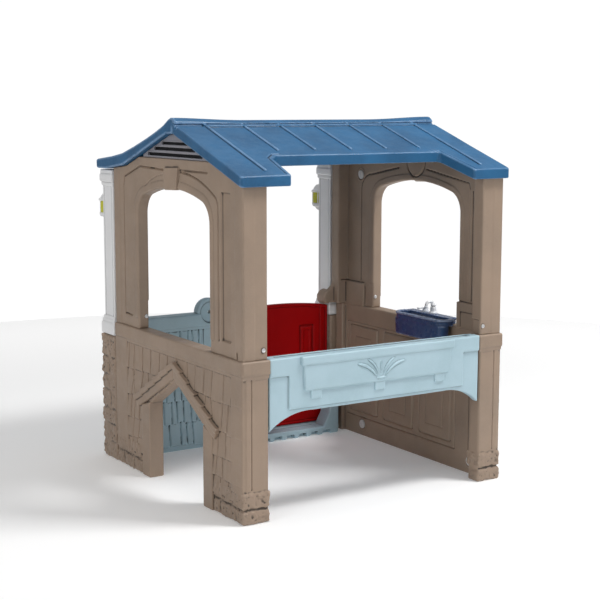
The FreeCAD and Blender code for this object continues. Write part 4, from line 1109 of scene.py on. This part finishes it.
# --------------------------------------------------------------------------------------
# materials
# --------------------------------------------------------------------------------------
def moulded(name, colour, rough=0.5, var=0.10, tint=(1, 1, 1), grain=0.00035, grain_scale=900.0, wear_and_highlight=0.5, dirt_and_shade=0.5,
            stain=0.0, coat=0.0, sheen=0.0, spec=0.5, trans=0.0, metal=0.0, streak=False, rim=0.06, e0=0.07, e1=0.42):
    m = bpy.data.materials.new(name)
    m.use_nodes = True
    nt = m.node_tree
    nt.nodes.clear()
    N, L = nt.nodes.new, nt.links.new
    out = N("ShaderNodeOutputMaterial")
    bsdf = N("ShaderNodeBsdfPrincipled")
    L(bsdf.outputs[0], out.inputs[0])
    bsdf.inputs["IOR"].default_value = 1.5
    bsdf.inputs["Specular IOR Level"].default_value = spec
    bsdf.inputs["Metallic"].default_value = metal
    bsdf.inputs["Coat Weight"].default_value = coat
    bsdf.inputs["Coat Roughness"].default_value = 0.25
    bsdf.inputs["Transmission Weight"].default_value = trans
    co = N("ShaderNodeTexCoord").outputs["Object"]

    def noise(scale, detail=3.0, rough_=0.55, stretch=None):
        t = N("ShaderNodeTexNoise")
        t.inputs["Scale"].default_value = scale
        t.inputs["Detail"].default_value = detail
        t.inputs["Roughness"].default_value = rough_
        src = co
        if stretch:
            mp = N("ShaderNodeMapping")
            mp.inputs["Scale"].default_value = stretch
            L(co, mp.inputs["Vector"])
            src = mp.outputs[0]
        L(src, t.inputs["Vector"])
        return t.outputs["Fac"]

    def ramp(src, a, b, lo=0.0, hi=1.0):
        r = N("ShaderNodeMapRange")
        r.interpolation_type = "SMOOTHSTEP"
        for k, x in (("From Min", a), ("From Max", b), ("To Min", lo), ("To Max", hi)):
            r.inputs[k].default_value = x
        L(src, r.inputs["Value"])
        return r.outputs[0]

    def mix(fac, a, b, mode="MIX"):
        x = N("ShaderNodeMix")
        x.data_type = "RGBA"
        x.blend_type = mode
        x.clamp_factor = True
        if isinstance(fac, (int, float)):
            x.inputs["Factor"].default_value = fac
        else:
            L(fac, x.inputs["Factor"])
        for s, v in ((x.inputs[6], a), (x.inputs[7], b)):
            if isinstance(v, tuple):
                s.default_value = (*v[:3], 1)
            else:
                L(v, s)
        return x.outputs[2]

    def math_(op, a, b):
        x = N("ShaderNodeMath")
        x.operation = op
        for s, v in ((x.inputs[0], a), (x.inputs[1], b)):
            if isinstance(v, (int, float)):
                s.default_value = v
            else:
                L(v, s)
        return x.outputs[0]

    c = np.array(colour)
    lo = tuple(np.clip(c * (1 - var) * np.array(tint), 0, 1))
    hi = tuple(np.clip(c * (1 + var), 0, 1))
    col = mix(ramp(noise(7.0, 4.0), 0.3, 0.7), lo, hi)
    fine = ramp(noise(150.0, 2.0, 0.7, (1, 1, 0.25) if streak else None), 0.35, 0.75)
    col = mix(math_("MULTIPLY", fine, 0.35), col, tuple(np.clip(c * (1 + 1.2 * var), 0, 1)))
    # cloudy moulding marks and scuffs
    scuff = ramp(noise(34.0, 5.0, 0.75), 0.62, 0.78)
    col = mix(math_("MULTIPLY", scuff, 0.16), col, tuple(np.clip(c * 1.35 + 0.03, 0, 1)))
    at = N("ShaderNodeAttribute")
    at.attribute_name = "bend"
    bend = at.outputs["Fac"]
    # outer edges are lightened: partly rubbed pale by wear, partly a painted highlight
    edge = math_("MULTIPLY", ramp(bend, e0, e1), ramp(noise(60.0, 4.0, 0.7), 0.20, 0.56))
    col = mix(math_("MULTIPLY", edge, wear_and_highlight), col, tuple(np.clip(c * 1.5 + rim, 0, 1)))
    # grooves and creases are darkened: partly a little dust, partly painted shade
    pit = ramp(bend, -0.03, -0.24)
    col = mix(math_("MULTIPLY", pit, dirt_and_shade), col, tuple(c * 0.14))
    if stain:
        # dust thrown up on the lowest hand's width
        sep = N("ShaderNodeSeparateXYZ")
        L(co, sep.inputs[0])
        low = math_("MULTIPLY", ramp(sep.outputs[2], 0.10, 0.0), ramp(noise(22.0, 5.0, 0.7), 0.35, 0.7))
        col = mix(math_("MULTIPLY", low, stain), col, tuple(np.clip(c * 0.72 + np.array((0.03, 0.024, 0.016)), 0, 1)))
    L(col, bsdf.inputs["Base Color"])
    r1 = ramp(noise(26.0, 5.0, 0.65), 0.3, 0.7, rough - 0.07, rough + 0.08)
    r2 = math_("ADD", r1, math_("MULTIPLY", edge, -0.08))
    L(r2, bsdf.inputs["Roughness"])
    # moulded grain over soft sink marks
    bp = N("ShaderNodeBump")
    bp.inputs["Strength"].default_value = 0.55
    bp.inputs["Distance"].default_value = grain
    L(noise(grain_scale, 3.0, 0.6), bp.inputs["Height"])
    b2 = N("ShaderNodeBump")
    b2.inputs["Strength"].default_value = 0.35
    b2.inputs["Distance"].default_value = 0.0016
    L(noise(28.0, 2.0, 0.5), b2.inputs["Height"])
    L(bp.outputs[0], b2.inputs["Normal"])
    L(b2.outputs[0], bsdf.inputs["Normal"])
    MATS[name] = m
    return m


moulded("tan", (0.300, 0.219, 0.160), rough=0.50, var=0.07, tint=(0.98, 1.0, 1.02), wear_and_highlight=0.55, dirt_and_shade=0.95, stain=0.3, spec=0.45)
moulded("light_blue", (0.385, 0.525, 0.590), rough=0.44, var=0.05, tint=(0.97, 1.0, 1.0), wear_and_highlight=0.55, dirt_and_shade=0.85)
# roof: the strong edge lightening along seams, ridge and eaves is a painted highlight
moulded("roof_blue", (0.016, 0.098, 0.215), rough=0.40, var=0.18, tint=(0.9, 0.96, 1.0), wear_and_highlight=0.95, dirt_and_shade=0.95, spec=0.35, rim=0.13, e0=0.03, e1=0.20)
moulded("white", (0.78, 0.78, 0.785), rough=0.42, var=0.03, wear_and_highlight=0.35, dirt_and_shade=0.6)
moulded("vent_grey", (0.23, 0.225, 0.25), rough=0.5, var=0.05, wear_and_highlight=0.35, dirt_and_shade=0.8)
# near-black painted shade for the vent slots
moulded("vent_slot_shade", (0.010, 0.010, 0.012), rough=0.7, var=0.05, wear_and_highlight=0.0, dirt_and_shade=0.0, spec=0.2)
moulded("red", (0.36, 0.0007, 0.0018), rough=0.50, var=0.10, wear_and_highlight=0.08, dirt_and_shade=0.9, spec=0.12)
# navy: the strong lightening of the rim is a painted highlight standing in for a glossy reflection
moulded("navy", (0.022, 0.062, 0.165), rough=0.28, var=0.12, wear_and_highlight=0.95, dirt_and_shade=0.5, coat=0.6, rim=0.22, e0=0.03, e1=0.16)
moulded("light_grey", (0.88, 0.89, 0.90), rough=0.28, var=0.04, wear_and_highlight=0.3, dirt_and_shade=0.7)
moulded("plug_grey", (0.60, 0.59, 0.58), rough=0.42, var=0.04, wear_and_highlight=0.3, dirt_and_shade=0.9)
moulded("lantern_yellow", (0.56, 0.55, 0.045), rough=0.20, var=0.08, wear_and_highlight=0.2, dirt_and_shade=0.2, coat=0.3, grain=0.0001)
moulded("steel", (0.70, 0.70, 0.71), rough=0.34, var=0.05, wear_and_highlight=0.2, dirt_and_shade=0.8, metal=1.0, grain=0.0001, grain_scale=2600.0)


# --------------------------------------------------------------------------------------
# build
# --------------------------------------------------------------------------------------
for right in (False, True):
    lower_wall(right)
    upper_wall(right)
    pillar(right)
    column(right)
    lantern(right)
    vent(right)
porch_half_wall()
counter()
counter_tray()
half_door()
hinge_pins()
roof_front()
roof_back()
sink()
taps()
fasteners()

# --------------------------------------------------------------------------------------
# floor, light, camera
# --------------------------------------------------------------------------------------
sc = bpy.context.scene
def ring_mesh(name, r0, r1, z, n=96):
    ring = [(math.cos(2 * math.pi * k / n), math.sin(2 * math.pi * k / n)) for k in range(n)]
    me = bpy.data.meshes.new(name)
    if r0 == 0:
        me.from_pydata([(x * r1, y * r1, z) for x, y in ring], [], [tuple(range(n))])
    else:
        me.from_pydata([(x * r, y * r, z) for r in (r0, r1) for x, y in ring], [], [(k, n + k, n + (k + 1) % n, (k + 1) % n) for k in range(n)])
    ob = bpy.data.objects.new(name, me)
    sc.collection.objects.link(ob)
    return ob


# near floor: takes the shadows, and its emission, a painted glow, rises with the distance from the middle so the floor
# whitens towards the surround
floor = ring_mesh("studio_floor", 0, 3.4, 0.0)
fm = bpy.data.materials.new("floor_pale")
fm.use_nodes = True
fb = fm.node_tree.nodes["Principled BSDF"]
fb.inputs["Base Color"].default_value = (0.93, 0.93, 0.93, 1)
fb.inputs["Emission Color"].default_value = (1, 1, 1, 1)
fb.inputs["Roughness"].default_value = 0.75
fb.inputs["Specular IOR Level"].default_value = 0.2
ft = fm.node_tree.nodes.new("ShaderNodeTexCoord")
fl = fm.node_tree.nodes.new("ShaderNodeVectorMath")
fl.operation = "LENGTH"
fr = fm.node_tree.nodes.new("ShaderNodeMapRange")
fr.interpolation_type = "SMOOTHSTEP"
for k, x in (("From Min", 1.5), ("From Max", 3.2), ("To Min", 0.11), ("To Max", 0.30)):
    fr.inputs[k].default_value = x
fm.node_tree.links.new(ft.outputs["Object"], fl.inputs[0])
fm.node_tree.links.new(fl.outputs["Value"], fr.inputs["Value"])
fm.node_tree.links.new(fr.outputs[0], fb.inputs["Emission Strength"])
floor.data.materials.append(fm)

w = bpy.data.worlds.new("studio")
sc.world = w
w.use_nodes = True
bg = w.node_tree.nodes["Background"]
bg.inputs[0].default_value = (1.0, 1.0, 1.0, 1)
bg.inputs[1].default_value = 0.41
# a plain white surround behind the floor, which gives no light of its own
me = bpy.data.meshes.new("studio_surround")
ring = [(30 * math.cos(k * math.pi / 24), 30 * math.sin(k * math.pi / 24)) for k in range(48)]
me.from_pydata([(x, y, z) for z in (-0.5, 40) for x, y in ring], [], [(k, (k + 1) % 48, 48 + (k + 1) % 48, 48 + k) for k in range(48)] + [tuple(range(48, 96))])
surround = bpy.data.objects.new("studio_surround", me)
sc.collection.objects.link(surround)
sm = bpy.data.materials.new("surround_white")
sm.use_nodes = True
sm.node_tree.nodes.clear()
so = sm.node_tree.nodes.new("ShaderNodeOutputMaterial")
se = sm.node_tree.nodes.new("ShaderNodeEmission")
se.inputs[0].default_value = (1, 1, 1, 1)
se.inputs[1].default_value = 1.02
sm.node_tree.links.new(se.outputs[0], so.inputs[0])
me.materials.append(sm)
apron = ring_mesh("studio_far_floor", 3.38, 31.0, -0.002)
apron.data.materials.append(sm)
for o in (surround, apron):
    o.visible_diffuse = o.visible_glossy = o.visible_shadow = o.visible_transmission = False


def area(name, loc, aim, size, power, colour=(1, 1, 1), spread=180):
    d = bpy.data.lights.new(name, "AREA")
    d.shape = "RECTANGLE"
    d.size, d.size_y = size
    d.energy = power
    d.color = colour
    d.spread = math.radians(spread)
    o = bpy.data.objects.new(name, d)
    o.location = loc
    o.rotation_euler = (Vector(aim) - Vector(loc)).to_track_quat("-Z", "Y").to_euler()
    sc.collection.objects.link(o)
    return o


area("key", (1.7, -1.9, 4.3), (0.0, 0.0, 0.5), (1.1, 1.1), 145)
area("front", (1.0, -5.4, 1.7), (0.1, -0.5, 0.35), (3.6, 2.6), 26)
area("top", (0.0, 0.6, 4.2), (0.0, 0.0, 0.5), (3.0, 3.0), 20)
area("left", (-3.6, -1.4, 2.3), (-0.5, 0.0, 1.15), (1.6, 1.2), 7, spread=80)

cam = bpy.data.cameras.new("camera")
co_ = bpy.data.objects.new("camera", cam)
sc.collection.objects.link(co_)
sc.camera = co_
cam.sensor_width = 36
cam.lens = 80.57
cam.clip_start, cam.clip_end = 0.1, 60
yaw, pitch, roll = math.radians(32.38), math.radians(8.29), math.radians(0.09)
look = Vector((math.sin(yaw) * math.cos(pitch), math.cos(yaw) * math.cos(pitch), -math.sin(pitch)))
co_.location = ((-1872 - 473) / 1000.0, (-3251 - 507) / 1000.0, 1.207)
qrot = look.to_track_quat("-Z", "Y")
co_.rotation_mode = "QUATERNION"
co_.rotation_quaternion = qrot @ Matrix.Rotation(roll, 3, "Z").to_quaternion()
sc.view_settings.view_transform = "Standard"
